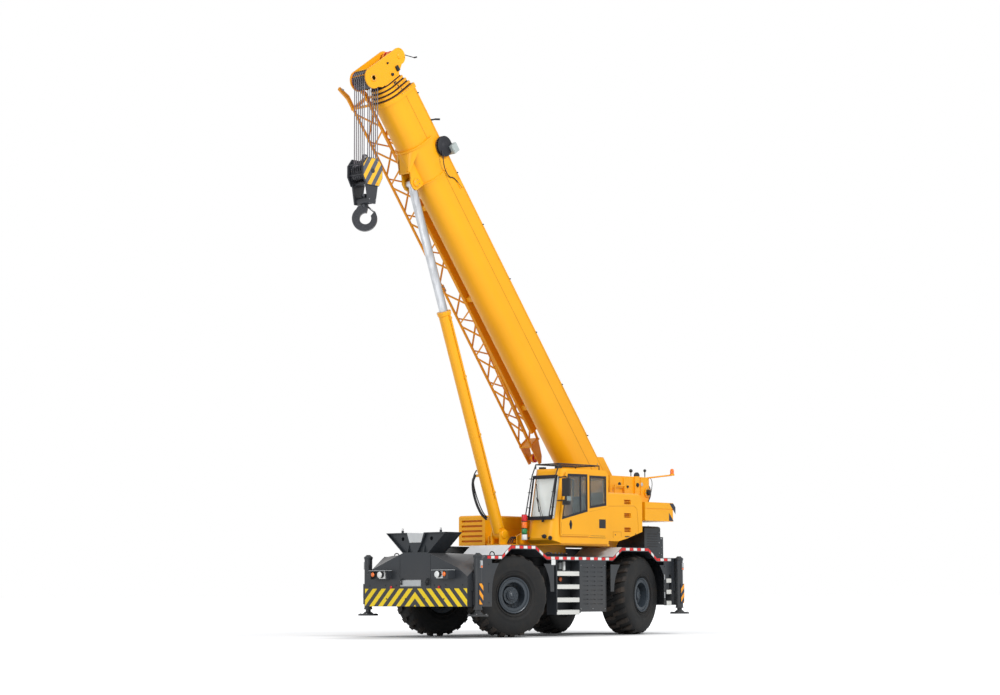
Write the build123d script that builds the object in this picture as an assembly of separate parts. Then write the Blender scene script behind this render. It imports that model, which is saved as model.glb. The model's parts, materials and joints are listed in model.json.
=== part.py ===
from build123d import *
import os
from math import atan2, cos, degrees, hypot, pi, radians, sin

# Two-axle rough-terrain mobile crane. X forward, Y left, Z up, millimetres.
# Everything is modelled with X = 0 midway between the axles and the ground at Z = 0,
# then moved by MID_X, so that the origin lies under the middle of the whole crane.
os.makedirs("parts", exist_ok=True)
MID_X = -897

# ---- fits and clearances ----
PIN_FIT = 0.08
SLIDE_FIT = 0.5
SEAT_GAP = 0.3
MOVE_GAP = 6

# ---- carrier ----
WHEELBASE = 4212
FRAME_HALF = 350
FRAME_WALL = 30
DECK_Z = 1820
FENDER_Z = 2055
FENDER_Y = 1600
DECK_THICK = 12
SKIRT_LOW = 550
HOUSING_LOW = 690
HOUSING_FRONT = 3886
HOUSING_BACK = 3300
REAR_HOUSING = (-3700, -3290)

# ---- wheels and axles ----
TYRE_RADIUS = 935
AXLE_ROOM = 245
FRAME_LOW = TYRE_RADIUS + AXLE_ROOM
TYRE_WIDTH = 750
WHEEL_Y = 1200
KINGPIN_Y = 920
RIM_RADIUS = 318
FLANGE_RADIUS = 406
RIM_HALF = 320
AXLE_HALF = 110
SPINDLE_RADIUS = 90
KINGPIN_RADIUS = 35
KNUCKLE_HALF = 110
PARKED_STEER = {"front": -16, "rear": 13}

# ---- outriggers: where the jack stands and the height of each side's beam ----
FRONT_JACK_X = 3670
REAR_JACK_X = -3450
JACK_Y = 1720
JACK_TUBE = 90
JACK_ROD = 60
FLOAT_RADIUS = 230
FLOAT_LOW = 480
BEAM_WIDE = 220
BEAM_TALL = 240
BEAM_Z = {"left": 1150, "right": 880}

# ---- slewing superstructure ----
SLEW_X = -150
RING_Z = 1900
RING_RADIUS = 780
FLOOR_Z = 2080
FLOOR_THICK = 40
PLATE_Y = 430
PLATE_WALL = 30
FOOT_X = -2420
FOOT_Z = 3030
FOOT_PIN = 75

# ---- boom: section k is BOOM_WIDE[k] across and BOOM_TALL[k] high ----
LUFF = 52
BOOM_WIDE = (760, 690, 625, 565, 505)
BOOM_TALL = (890, 820, 755, 690, 630)
BOOM_WALL = 8
BELLY_N = -80
TAIL_S = -300
BASE_END = 11600
COLLAR_PITCH = 92
COLLAR_LONG = 50
BASE_COLLAR = 110
HEAD_AXLE = (12245, -475)
TOP_AXLE = (12250, 560)
SHEAVE_RADIUS = 215
SHEAVE_PITCH = 62
SHEAVES = 7
HEAD_CHEEK = 225
CHEEK_WALL = 30

# ---- lift cylinder: foot on the superstructure, eye on the boom ----
CYL_FOOT = (1100, 2340)
CYL_EYE = (9640, -642)
CYL_PIN = 60
BARREL_RADIUS = 142
BARREL_END = 5400
ROD_RADIUS = 100
EYE_RADIUS = 108
EYE_HALF = 104
EAR_Y = 110
EAR_WALL = 40

# ---- hook block ----
FALL_ROPE = 11
BLOCK_AXLE_Z = 10290
HOOK_TOP_Z = 9690

SIDES = {"left": 1, "right": -1}
AXLES = {"front": WHEELBASE / 2, "rear": -WHEELBASE / 2}
CORNERS = [(end, side) for end in AXLES for side in SIDES]


# ---- helpers ----
def block(x, y, z):
    size = [abs(high - low) for low, high in (x, y, z)]
    middle = [(low + high) / 2 for low, high in (x, y, z)]
    return Pos(*middle) * Box(*size)


def bar_x(radius, x, y, z):
    return Pos((x[0] + x[1]) / 2, y, z) * Rot(0, 90, 0) * Cylinder(radius, abs(x[1] - x[0]))


def bar_y(radius, x, y, z):
    return Pos(x, (y[0] + y[1]) / 2, z) * Rot(90, 0, 0) * Cylinder(radius, abs(y[1] - y[0]))


def bar_z(radius, x, y, z):
    return Pos(x, y, (z[0] + z[1]) / 2) * Cylinder(radius, abs(z[1] - z[0]))


def outline(points):
    return make_face(Polyline(*points, close=True))


def side_plate(points, y):
    """Outline in X and Z, thick from y[0] to y[1]."""
    face = Plane.XZ.offset(-max(y)) * outline(points)
    return extrude(face, abs(y[1] - y[0]))


def cross_plate(points, x):
    """Outline in Y and Z, thick from x[0] to x[1]."""
    return extrude(Plane.YZ.offset(min(x)) * outline(points), abs(x[1] - x[0]))


def flat_plate(points, z):
    """Outline in X and Y, thick from z[0] to z[1]."""
    return extrude(Plane.XY.offset(min(z)) * outline(points), abs(z[1] - z[0]))


def turned_y(points, x, y, z):
    """Outline of (distance along Y, radius) turned about a line along Y."""
    face = Plane.XY * outline([(radius, along) for along, radius in points])
    return Pos(x, y, z) * revolve(face, Axis.Y)


def ends_y(y, side):
    """The Y range y[0] to y[1] on the left, mirrored on the right."""
    return (y[0], y[1]) if side > 0 else (-y[1], -y[0])


def on_both_sides(shape):
    if isinstance(shape, Compound) and len(shape.solids()) > 1:
        return together(shape, mirror(shape, Plane.XZ))
    return shape + mirror(shape, Plane.XZ)


def on_boom(shape):
    """Lays a shape drawn as (along, across, normal) onto the raised boom."""
    return Pos(FOOT_X, 0, FOOT_Z) * Rot(0, -LUFF, 0) * shape


def boom_point(along, normal):
    angle = radians(LUFF)
    return (FOOT_X + along * cos(angle) - normal * sin(angle),
            FOOT_Z + along * sin(angle) + normal * cos(angle))


def together(*shapes):
    """Several solids kept apart in one node."""
    return Compound([solid for shape in shapes for solid in shape.solids()])


def save(node, shape):
    export_step(Pos(MID_X, 0, 0) * shape, f"parts/{node}.step")


# ---- carrier ----
def carrier_frame():
    """Box girder on edge: side rails, decks between them, and the slew pedestal."""
    rails = on_both_sides(block((REAR_HOUSING[1], HOUSING_BACK), (FRAME_HALF - FRAME_WALL, FRAME_HALF),
                                (FRAME_LOW, DECK_Z - DECK_THICK)))
    inner = (-FRAME_HALF + FRAME_WALL, FRAME_HALF - FRAME_WALL)
    girder = (ENGINE_FRONT, HOUSING_BACK)
    top = block(girder, inner, (DECK_Z - DECK_THICK - FRAME_WALL, DECK_Z - DECK_THICK))
    bottom = block(girder, inner, (FRAME_LOW, FRAME_LOW + FRAME_WALL))
    back = block((ENGINE_FRONT, ENGINE_FRONT + FRAME_WALL), inner, (FRAME_LOW, DECK_Z - DECK_THICK))
    pedestal = bar_z(RING_RADIUS, SLEW_X, 0, (DECK_Z - DECK_THICK - 200, RING_Z))
    pads = [block((x - AXLE_HALF, x + AXLE_HALF), (FRAME_HALF - 110, FRAME_HALF),
                  (TYRE_RADIUS + AXLE_HALF, FRAME_LOW)) for x in AXLES.values()]
    gearbox = block(GEARBOX, (-220, 220), (TYRE_RADIUS - 130, FRAME_LOW))
    return rails + top + bottom + back + pedestal + gearbox + on_both_sides(pads[0] + pads[1])


ENGINE_FRONT = -2450
ENGINE_LONG = 800
DECK_LINE = [(3240, DECK_Z), (2760, DECK_Z), (2450, FENDER_Z), (1640, FENDER_Z), (1250, DECK_Z),
             (-1090, DECK_Z), (-1430, FENDER_Z), (-2420, FENDER_Z), (-2740, DECK_Z), (-3290, DECK_Z)]
FASCIA_TALL = 95
LOUVRE_PANEL = (-830, 120)
STEP_BAY = (120, 920)
FRONT_SKIRT = (3090, 3290)
REAR_SKIRT = (-3290, -3010)


REAR_BAY_TOP = 1420
SLOT_ROWS = 9
SLOT_COLUMNS = 3


def louvre_slots():
    """Rows of short slots pressed into the side panel."""
    width = (LOUVRE_PANEL[1] - LOUVRE_PANEL[0]) / (SLOT_COLUMNS + 0.7)
    slots = Part()
    for column in range(SLOT_COLUMNS):
        left = LOUVRE_PANEL[0] + (column + 0.5) * width
        for row in range(SLOT_ROWS):
            z = SKIRT_LOW + 170 + row * 105
            slots += block((left, left + width * 0.75), (FENDER_Y - 15, FENDER_Y + 1), (z, z + 22))
    return slots


def fender_decks():
    """Walk-on decks that rise over the wheels, with their side skirts."""
    below = [(x, z - DECK_THICK) for x, z in reversed(DECK_LINE)]
    lip = [(x, z - FASCIA_TALL) for x, z in reversed(DECK_LINE)]
    sheet = side_plate(DECK_LINE + below, (FRAME_HALF, FENDER_Y))
    band = side_plate(DECK_LINE + lip, (FENDER_Y - DECK_THICK, FENDER_Y))
    side = sheet + band
    skirt_y = (FENDER_Y - DECK_THICK, FENDER_Y)
    side += block(FRONT_SKIRT, skirt_y, (HOUSING_LOW, DECK_Z))
    side += block(REAR_SKIRT, skirt_y, (HOUSING_LOW, DECK_Z))
    side -= block((REAR_SKIRT[0] - 1, REAR_SKIRT[1] - 60), (FENDER_Y - 100, FENDER_Y + 1),
                  (HOUSING_LOW - 1, REAR_BAY_TOP))
    side += block(LOUVRE_PANEL, (FENDER_Y - 350, FENDER_Y), (SKIRT_LOW, DECK_Z)) - louvre_slots()
    side -= bar_z(RING_RADIUS + SEAT_GAP, SLEW_X, 0, (DECK_Z - 300, RING_Z))
    return on_both_sides(side)


TREAD_TOPS = (1480, 1180, 880, 600)
REAR_TREADS = (1330, 1060, 790)
TREAD_TALL = 110
TREAD_DEEP = 280


def steps():
    """Four treads each side between cheek plates, and three behind the rear wheel."""
    y = (FENDER_Y - TREAD_DEEP, FENDER_Y)
    side = block((STEP_BAY[1], STEP_BAY[1] + DECK_THICK), (y[0] - DECK_THICK, y[1]),
                 (SKIRT_LOW - 60, DECK_Z - FASCIA_TALL))
    side += block((STEP_BAY[0] + SEAT_GAP, STEP_BAY[1]), (y[0] - DECK_THICK, y[0]),
                  (SKIRT_LOW - 60, DECK_Z - FASCIA_TALL))
    for top in TREAD_TOPS:
        side += block((STEP_BAY[0] + SEAT_GAP, STEP_BAY[1]), y, (top - TREAD_TALL, top))
    rear = [block((REAR_SKIRT[0], REAR_SKIRT[1] - 90), (FENDER_Y - 80, FENDER_Y),
                  (top - TREAD_TALL, top)) for top in REAR_TREADS]
    return on_both_sides(together(side, *rear))


GEARBOX = (-520, 180)


def axle_beams():
    """Drive axles: a banjo bowl, box arms and the forks that hold the kingpins."""
    axles = Part()
    for x in AXLES.values():
        arm = block((x - AXLE_HALF, x + AXLE_HALF), (0, KINGPIN_Y - 190),
                    (TYRE_RADIUS - AXLE_HALF, TYRE_RADIUS + AXLE_HALF))
        web = block((x - 70, x + 70), (KINGPIN_Y - 190, KINGPIN_Y - 120),
                    (TYRE_RADIUS - 170, TYRE_RADIUS + 170))
        for z in (TYRE_RADIUS - 170, TYRE_RADIUS + KNUCKLE_HALF + SEAT_GAP):
            tall = 170 - KNUCKLE_HALF - SEAT_GAP
            web += block((x - 70, x + 70), (KINGPIN_Y - 130, KINGPIN_Y), (z, z + tall))
            web += bar_z(70, x, KINGPIN_Y, (z, z + tall))
        web -= bar_z(KINGPIN_RADIUS + PIN_FIT, x, KINGPIN_Y, (0, 2 * TYRE_RADIUS))
        bowl = bar_x(240, (x - 160, x + 160), 0, TYRE_RADIUS)
        bowl += bar_x(90, (x - 280, x + 280), 0, TYRE_RADIUS)
        axles += on_both_sides(arm + web) + bowl
    shafts = bar_x(55, (-WHEELBASE / 2 + 280, GEARBOX[0]), 0, TYRE_RADIUS)
    shafts += bar_x(55, (GEARBOX[1], WHEELBASE / 2 - 280), 0, TYRE_RADIUS)
    return axles + shafts


def steered(shape, end, side):
    """Turns what the kingpin carries to the angle that the wheels are parked at."""
    pin = Pos(AXLES[end], SIDES[side] * KINGPIN_Y, 0)
    return pin * Rot(0, 0, PARKED_STEER[end]) * pin.inverse() * shape


def knuckle(x, side):
    """Steering knuckle: kingpin hub with its pins, and the spindle that carries the wheel."""
    y = side * KINGPIN_Y
    hub = bar_z(85, x, y, (TYRE_RADIUS - KNUCKLE_HALF, TYRE_RADIUS + KNUCKLE_HALF))
    pin = bar_z(KINGPIN_RADIUS, x, y, (TYRE_RADIUS - 170, TYRE_RADIUS + 170))
    spindle = bar_y(SPINDLE_RADIUS, x, ends_y((KINGPIN_Y, WHEEL_Y + 60), side), TYRE_RADIUS)
    return hub + pin + spindle


TYRE_SIDES = 36
TYRE_BULGE = 375
TREAD_HALF = 300
TREAD_DEPTH = 45
LUGS = 18
LUG_HALF = 62
BORE_SIDES = 16
DISC_Y = 60


def tyre_ring(y, radius, sides):
    """Regular outline across the tyre, whose flat sides stand at this radius."""
    face = RegularPolygon(radius, sides, major_radius=False, rotation=90 - 180 / sides)
    return Plane(origin=(0, y, 0), x_dir=(1, 0, 0), z_dir=(0, -1, 0)) * face


def tyre_layer(low, high, sides=TYRE_SIDES):
    return loft([tyre_ring(*low, sides), tyre_ring(*high, sides)], ruled=True)


def tread_lug():
    """One lug on top of the tyre's left half: tall at the tread, cut back down the shoulder."""
    side = [(-15, TYRE_RADIUS - 2 * TREAD_DEPTH), (-15, TYRE_RADIUS), (TREAD_HALF + 10, TYRE_RADIUS),
            (TYRE_BULGE, 870), (TREAD_HALF, 790)]
    return cross_plate(side, (-LUG_HALF, LUG_HALF))


def tyre_shape():
    """Bias-ply tyre with 36 sides and two staggered rows of deep lugs."""
    floor = TYRE_RADIUS - TREAD_DEPTH
    flank = [(-TREAD_HALF, floor), (-TYRE_BULGE, 720)]
    bead = [(-TYRE_BULGE, 640), (-RIM_HALF, FLANGE_RADIUS)]
    carcass = tyre_layer((-TREAD_HALF, floor), (TREAD_HALF, floor))
    for start, end in zip(flank, flank[1:]):
        for side in (1, -1):
            carcass += tyre_layer((side * start[0], start[1]), (side * end[0], end[1]))
    for side in (1, -1):
        carcass -= tyre_layer((side * bead[0][0], bead[0][1]), (side * bead[1][0], bead[1][1]))
    turn = 360 / LUGS
    lugs = [Rot(0, k * turn, 0) * tread_lug() for k in range(LUGS)]
    lugs += [Rot(0, (k + 0.5) * turn, 0) * mirror(tread_lug(), Plane.XZ) for k in range(LUGS)]
    bore = tyre_layer((-RIM_HALF - 10, RIM_RADIUS), (RIM_HALF + 10, RIM_RADIUS), BORE_SIDES)
    return carcass.fuse(*lugs) - bore


TYRE = tyre_shape()


def tyre(x, side):
    return Pos(x, side * WHEEL_Y, TYRE_RADIUS) * TYRE


def rim(x, side):
    """Deep-dish rim with its flanges, disc and planetary hub."""
    bore = SPINDLE_RADIUS + PIN_FIT
    barrel = [(-RIM_HALF - 8, RIM_RADIUS - 26), (-RIM_HALF - 8, FLANGE_RADIUS), (-RIM_HALF, FLANGE_RADIUS),
              (-RIM_HALF, RIM_RADIUS), (RIM_HALF, RIM_RADIUS), (RIM_HALF, FLANGE_RADIUS),
              (RIM_HALF + 8, FLANGE_RADIUS), (RIM_HALF + 8, RIM_RADIUS - 26)]
    hub = [(-90, bore), (-90, 200), (DISC_Y, 220), (DISC_Y, RIM_RADIUS - 26), (DISC_Y + 40, RIM_RADIUS - 26),
           (DISC_Y + 40, 210), (DISC_Y + 150, 190), (DISC_Y + 150, 120), (DISC_Y + 190, 120),
           (DISC_Y + 190, 0), (DISC_Y + 10, 0), (DISC_Y + 10, bore)]
    wheel = turned_y(barrel, 0, 0, 0) + turned_y(hub, 0, 0, 0)
    if side < 0:
        wheel = mirror(wheel, Plane.XZ)
    return Pos(x, side * WHEEL_Y, TYRE_RADIUS) * wheel


# ---- outrigger housings ----
def beam_tunnels(x, reach):
    """Slots for one beam out of each side, one above the other."""
    half = BEAM_WIDE / 2 + SLIDE_FIT
    tall = BEAM_TALL / 2 + SLIDE_FIT
    slots = Part()
    for side, sign in SIDES.items():
        z = BEAM_Z[side]
        slots += block((x - half, x + half), ends_y((-reach + 80, reach + 10), sign), (z - tall, z + tall))
    return slots


def front_housing():
    """Front outrigger box under a deck that slopes down to the bumper plate."""
    half = FENDER_Y + 10
    back = [(-half, HOUSING_LOW), (half, HOUSING_LOW), (half, DECK_Z - 20), (1300, 1840), (400, 1880),
            (-400, 1880), (-1300, 1840), (-half, DECK_Z - 20)]
    front = [(-half, HOUSING_LOW), (half, HOUSING_LOW), (half, 1350), (1300, 1550), (400, 1880),
             (-400, 1880), (-1300, 1550), (-half, 1350)]
    shell = loft([Plane.YZ.offset(HOUSING_BACK) * outline(back),
                  Plane.YZ.offset(HOUSING_FRONT) * outline(front)], ruled=True)
    return shell - beam_tunnels(FRONT_JACK_X, half) + on_both_sides(lamp_box())


LAMP_BOX = {"x": (HOUSING_FRONT, HOUSING_FRONT + 235), "y": (740, 1240), "z": (1300, 1490)}
HEADLAMP = (900, 1400, 68)
MARKER_LAMP = (1120, 1405, 48)


def lamp_box():
    """Box on the bumper plate with a lid, a headlamp and a marker lamp in its open front."""
    x, y, z = LAMP_BOX["x"], LAMP_BOX["y"], LAMP_BOX["z"]
    box = block(x, y, z) - block((x[1] - 90, x[1]), (y[0], y[1] - 60), (z[0], z[1] - 14))
    for lamp_y, lamp_z, radius in (HEADLAMP, MARKER_LAMP):
        box += bar_x(radius, (x[1] - 95, x[1] - 10), lamp_y, lamp_z)
    return box


def rear_housing():
    half = FENDER_Y + 10
    shell = block(REAR_HOUSING, (-half, half), (HOUSING_LOW, DECK_Z))
    return shell - beam_tunnels(REAR_JACK_X, half)


def outrigger_beam(x, side_name):
    """Telescoping box beam with the jack's sleeve on its end."""
    side, z = SIDES[side_name], BEAM_Z[side_name]
    beam = block((x - BEAM_WIDE / 2, x + BEAM_WIDE / 2), ends_y((-1500, JACK_Y - 80), side),
                 (z - BEAM_TALL / 2, z + BEAM_TALL / 2))
    web = block((x - 60, x + 60), ends_y((FENDER_Y + 20, JACK_Y), side), (730, 1420))
    sleeve = bar_z(JACK_TUBE, x, side * JACK_Y, (620, 1800))
    bore = bar_z(JACK_ROD + SLIDE_FIT, x, side * JACK_Y, (600, 1760))
    return beam + web + sleeve - bore


def jack_leg(x, side_name):
    y = SIDES[side_name] * JACK_Y
    leg = bar_z(JACK_ROD, x, y, (FLOAT_LOW + 20, 1740))
    cup = Pos(x, y, FLOAT_LOW + 60) * Cone(FLOAT_RADIUS * 0.6, JACK_ROD + 20, 60)
    return leg + cup + bar_z(FLOAT_RADIUS, x, y, (FLOAT_LOW, FLOAT_LOW + 40))


TOW_EYE = (HOUSING_FRONT + 50, 400, 1240)
TOW_RADIUS = 30
TOW_THICK = 40


def tow_eyes():
    """Two shackle lugs on the bumper plate."""
    x, y, z = TOW_EYE
    lug = side_plate([(HOUSING_FRONT + SEAT_GAP, z - 80), (x + 20, z - 55), (x + 50, z - 20), (x + 50, z + 20),
                      (x + 20, z + 55), (HOUSING_FRONT + SEAT_GAP, z + 80)],
                     (y - TOW_THICK / 2, y + TOW_THICK / 2))
    return on_both_sides(lug - bar_y(TOW_RADIUS, x, (y - 100, y + 100), z))


REST_X = (3340, 3880)
REST_TOP = 2330
REST_HALF = 930
REST_NOTCH = ((270, REST_TOP), (180, 2110))


def boom_rest():
    """Cradle on the front deck, notched for the lowered lift cylinder, with a ribbed front."""
    notch = [*REST_NOTCH, *[(-y, z) for y, z in reversed(REST_NOTCH)]]
    foot = [(-400, 1880), (400, 1880)]
    rest = cross_plate([*notch, (-REST_HALF, REST_TOP), *foot, (REST_HALF, REST_TOP)], REST_X)
    front = REST_X[1]
    for side in (1, -1):
        pocket = [(side * 300, REST_TOP - 16), (side * 195, 2105), (side * 60, 1896), (side * 385, 1896),
                  (side * (REST_HALF - 40), REST_TOP - 16)]
        rest -= cross_plate(pocket, (front - 60, front + 10))
        rest -= bar_x(45, (front - 140, front), side * 450, 2200)
        rest += side_plate([(front - 61, 1890), (front - 2, 1890), (front - 61, 2080)],
                           (side * 250 - 8, side * 250 + 8))
        rest += bar_z(28, front - 200, side * 600, (REST_TOP - 20, REST_TOP + 60))
    return rest


def engine():
    return block((ENGINE_FRONT - ENGINE_LONG, ENGINE_FRONT),
                 (-FRAME_HALF + FRAME_WALL, FRAME_HALF - FRAME_WALL), (FRAME_LOW + 50, 2040))


def rear_hood():
    """Radiator hood behind the rear wheels, with the tank and step-down behind it."""
    hood = block((-3640, -3020), (-1000, 1000), (DECK_Z, 2600))
    hood = fillet(hood.edges().group_by(Axis.Z)[-1], 60)
    hood -= block((-3620, -3040), (-980, 980), (DECK_Z - 10, 2580))
    hood -= block((-3300, -3000), (-FRAME_HALF, FRAME_HALF), (DECK_Z - 10, 2050))
    tail = block((-3640, -3600), (-800, 800), (DECK_Z, 2350))
    tail += block((-4000, -3640), (-800, 800), (DECK_Z, 2350))
    tail += block((-4000, REAR_HOUSING[0]), (-800, 800), (DECK_Z - 120, 2350))
    return hood + tail


# ---- superstructure ----
SIDE_PLATE = [(-3100, 2690), (-2560, FLOOR_Z), (1000, FLOOR_Z), (1000, 2300), (700, 2420), (-800, 2560),
              (-1700, 3180), (-2300, 3300), (-2560, 3280), (-2700, 3160), (-3100, 3160)]
NOSE_X = 1290


def turntable():
    """Slew ring, floor and the two side plates that hold the boom's foot."""
    ring = bar_z(RING_RADIUS - 60, SLEW_X, 0, (RING_Z + SEAT_GAP, FLOOR_Z))
    floor = flat_plate([(-2560, -500), (1000, -500), (1000, -200), (NOSE_X, -200), (NOSE_X, 200),
                        (1000, 200), (1000, 500), (600, 500), (600, 1450), (-1150, 1450),
                        (-1150, 500), (-2560, 500)], (FLOOR_Z, FLOOR_Z + FLOOR_THICK))
    plate = side_plate(SIDE_PLATE, (PLATE_Y, PLATE_Y + PLATE_WALL))
    plate += bar_y(125, FOOT_X, (PLATE_Y, PLATE_Y + 60), FOOT_Z)
    plate -= bar_y(FOOT_PIN + PIN_FIT, FOOT_X, (0, 1000), FOOT_Z)
    x, z = CYL_FOOT
    ear = side_plate([(x - 190, FLOOR_Z), (x + 140, FLOOR_Z), (x + 140, z), (x + 100, z + 95),
                      (x, z + 135), (x - 100, z + 95), (x - 140, z)], (EAR_Y, EAR_Y + EAR_WALL))
    ear -= bar_y(CYL_PIN + PIN_FIT, x, (0, 400), z)
    return ring + floor + on_both_sides(plate + ear)


COUNTERWEIGHT_Z = (2710, 3160 - SEAT_GAP)
SEAM_DEEP = 12


def counterweight():
    """Slab counterweight with two wings that reach forward past the boom's tail."""
    plan = [(-3680, -1350), (-3580, -1450), (-2500, -1450), (-2500, -750), (-3100 - SEAT_GAP, -750),
            (-3100 - SEAT_GAP, 750), (-2500, 750), (-2500, 1450), (-3580, 1450), (-3680, 1350)]
    slab = flat_plate(plan, COUNTERWEIGHT_Z)
    seam = (2990, 3012)
    slab -= block((-3700, -3680 + SEAM_DEEP), (-1500, 1500), seam)
    for y in ((1450 - SEAM_DEEP, 1460), (-1460, -1450 + SEAM_DEEP)):
        slab -= block((-3700, -2400), y, seam)
    return slab


WINCH = (-3360, 3430)
DRUM_HALF = 760
FLANGE = 240
WINCH_PLATE = (-3440, -1950)
WINCH_TOP = 3800
HOOD_TOP = 3350
HOOD_BACK = -2400


def winch_frame():
    """Plates on the counterweight that carry the hoist drum, with handles, stalks and a beacon arm."""
    back, front = WINCH_PLATE
    plate = side_plate([(back, 3160), (HOOD_BACK - 10, 3160), (HOOD_BACK - 10, HOOD_TOP + 10),
                        (front, HOOD_TOP + 10), (front, WINCH_TOP), (back, WINCH_TOP)], (790, 820))
    x, z = WINCH
    plate += bar_y(60, x, (DRUM_HALF - 100, 790), z) + bar_y(120, x, (820, 850), z)
    plate += block((back, front), (750, 790), (WINCH_TOP - 30, WINCH_TOP))
    plate += bar_z(12, -3300, 805, (WINCH_TOP, WINCH_TOP + 150)) + Pos(-3300, 805, WINCH_TOP + 165) * Sphere(38)
    sill = block((-3080, HOOD_BACK - 10), (PLATE_Y + PLATE_WALL + SEAT_GAP, 790), (3160, 3180))
    frame = on_both_sides(plate + sill)
    rail = bar_z(16, -2030, 900, (HOOD_TOP + 15, 3560)) + bar_z(16, -2400, 900, (HOOD_TOP + 15, 3560))
    rail += bar_x(16, (-2416, -2014), 900, 3560)
    rail += bar_y(12, -2030, (820, 900), 3480) + bar_y(12, -2400, (820, 900), 3480)
    arm = block((-3030, -2850), (820, 860), (3340, WINCH_TOP + 20))
    arm += bar_y(90, -2940, (820, 860), WINCH_TOP + 20) + bar_y(90, -2940, (820, 860), 3340)
    stalk = bar_z(12, -2760, 805, (WINCH_TOP, WINCH_TOP + 120)) + Pos(-2760, 805, WINCH_TOP + 140) * Sphere(45)
    root, tip = Vector(-3400, 805, WINCH_TOP - 10), Vector(*BEACON)
    beacon = strut(root, tip, Circle(20)) + bar_z(58, BEACON[0], BEACON[1], (BEACON[2] - 15, BEACON[2] + 25))
    beacon += bar_z(45, BEACON[0], BEACON[1], (BEACON[2], BEACON[2] + 125))
    return together(frame + rail + arm + stalk + beacon)


BEACON = (-3750, 1300, 3855)


def winch_drum():
    x, z = WINCH
    profile = [(-DRUM_HALF, 60 + PIN_FIT), (-DRUM_HALF, FLANGE), (-DRUM_HALF + 20, FLANGE),
               (-DRUM_HALF + 20, FLANGE - 75), (DRUM_HALF - 20, FLANGE - 75), (DRUM_HALF - 20, FLANGE),
               (DRUM_HALF, FLANGE), (DRUM_HALF, 60 + PIN_FIT)]
    return turned_y(profile, x, 0, z)


LEFT_HOOD_Y = (560, 1440)
VENT_TOPS = (3190, 2870, 2530)
RIGHT_HOOD = {"x": (-1500, 950), "y": (-1450, -600), "z": (2100, 2810)}
FRONT_SLOTS = 5


def side_hoods():
    """Left hood behind the cab, with three air vents, and the long right hood with front slots."""
    left = side_plate([(CAB_BACK - MOVE_GAP, 2200), (CAB_BACK - MOVE_GAP, HOOD_TOP), (-2250, HOOD_TOP),
                       (HOOD_BACK, HOOD_TOP - 150), (HOOD_BACK, 2440), (-1820, 2270), (-1500, 2200)],
                      LEFT_HOOD_Y)
    ridges = left.edges().filter_by(Axis.X).group_by(Axis.Z)[-1]
    left = fillet(ridges, 70)
    for top in VENT_TOPS:
        left -= block((-1970, -1720), (LEFT_HOOD_Y[1] - 70, LEFT_HOOD_Y[1] + 1), (top - 105, top))
        for slat in (top - 70, top - 35):
            left += block((-1970, -1720), (LEFT_HOOD_Y[1] - 70, LEFT_HOOD_Y[1] - 12), (slat - 8, slat))
    x, y, z = RIGHT_HOOD["x"], RIGHT_HOOD["y"], RIGHT_HOOD["z"]
    right = block(x, y, z)
    right = fillet(right.edges().group_by(Axis.Z)[-1], 50)
    pitch = (z[1] - z[0] - 120) / FRONT_SLOTS
    for k in range(FRONT_SLOTS):
        low = z[0] + 80 + k * pitch
        right -= block((x[1] - 60, x[1] + 1), (y[0] + 90, y[1] - 90), (low, low + 45))
    left_sill = block((HOOD_BACK, CAB_BACK - MOVE_GAP), (PLATE_Y + PLATE_WALL + SEAT_GAP, 560), (2250, 2300))
    right_sill = block((x[0], x[1] - 50), (-600, -PLATE_Y - PLATE_WALL - SEAT_GAP), (2121, 2160))
    return left + left_sill + right + right_sill


# ---- cab ----
CAB_Y = (550, 1500)
CAB_WALL = 45
CAB_LOW = FLOOR_Z + FLOOR_THICK + SEAT_GAP
CAB_BACK = -1060
CAB_SIDE = [(CAB_BACK, CAB_LOW), (640, CAB_LOW), (860, 2200), (910, 2330), (845, 2640), (640, 3700),
            (540, 3850), (-960, 3850), (CAB_BACK, 3760)]
CAB_CORNER = 260
DOOR_LOW = 2290
DOOR_TOP = 3760
DOOR_GAP = 6
DOOR_WALL = 30
PANE = 8


def cab_prism(inset):
    """The cab's side outline drawn across it, with the front corners rounded in plan."""
    face = offset(outline(CAB_SIDE), -inset) if inset else outline(CAB_SIDE)
    y = (CAB_Y[0] + inset, CAB_Y[1] - inset)
    solid = extrude(Plane.XZ.offset(-y[1]) * face, y[1] - y[0])
    radius = CAB_CORNER - inset
    plan = Rectangle(2000, y[1] - y[0])
    plan = fillet(plan.vertices().group_by(Axis.X)[-1], radius)
    lean = Vector(CAB_SIDE[5][0] - CAB_SIDE[4][0], 0, CAB_SIDE[5][1] - CAB_SIDE[4][1]).normalized()
    start = Vector(925 - inset - 1000, (y[0] + y[1]) / 2, 2000)
    start = start + lean * -((start.Z - 1900) / lean.Z)
    column = extrude(Pos(start.X, start.Y, start.Z) * plan, 2200 / lean.Z, dir=lean)
    return solid & (column + block((-2000, -200), y, (1900, 4100)))


def cab_windows():
    """Window openings: windscreen, rear quarter, right side, back and roof."""
    front = block((450, 1100), (660, 1390), (2690, 3670))
    quarter = side_plate([(-390, 2960), (-970, 3040), (-970, 3700), (-390, 3700)], (1300, 1600))
    right = block((-900, 380), (500, 700), (2700, 3680))
    back = block((-1300, -900), (680, 1370), (2960, 3640))
    roof = block((-250, 350), (720, 1330), (3700, 3900))
    return front + quarter + right + back + roof


def door_opening():
    return side_plate([(-290, DOOR_LOW + 20), (640, DOOR_LOW + 20), (640, 2660), (455, DOOR_TOP - 30),
                       (-290, DOOR_TOP - 30)], (1300, 1600))


BELT_Z = 2660
ROOF_Z = 3715
RAIL_TALL = 40


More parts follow.
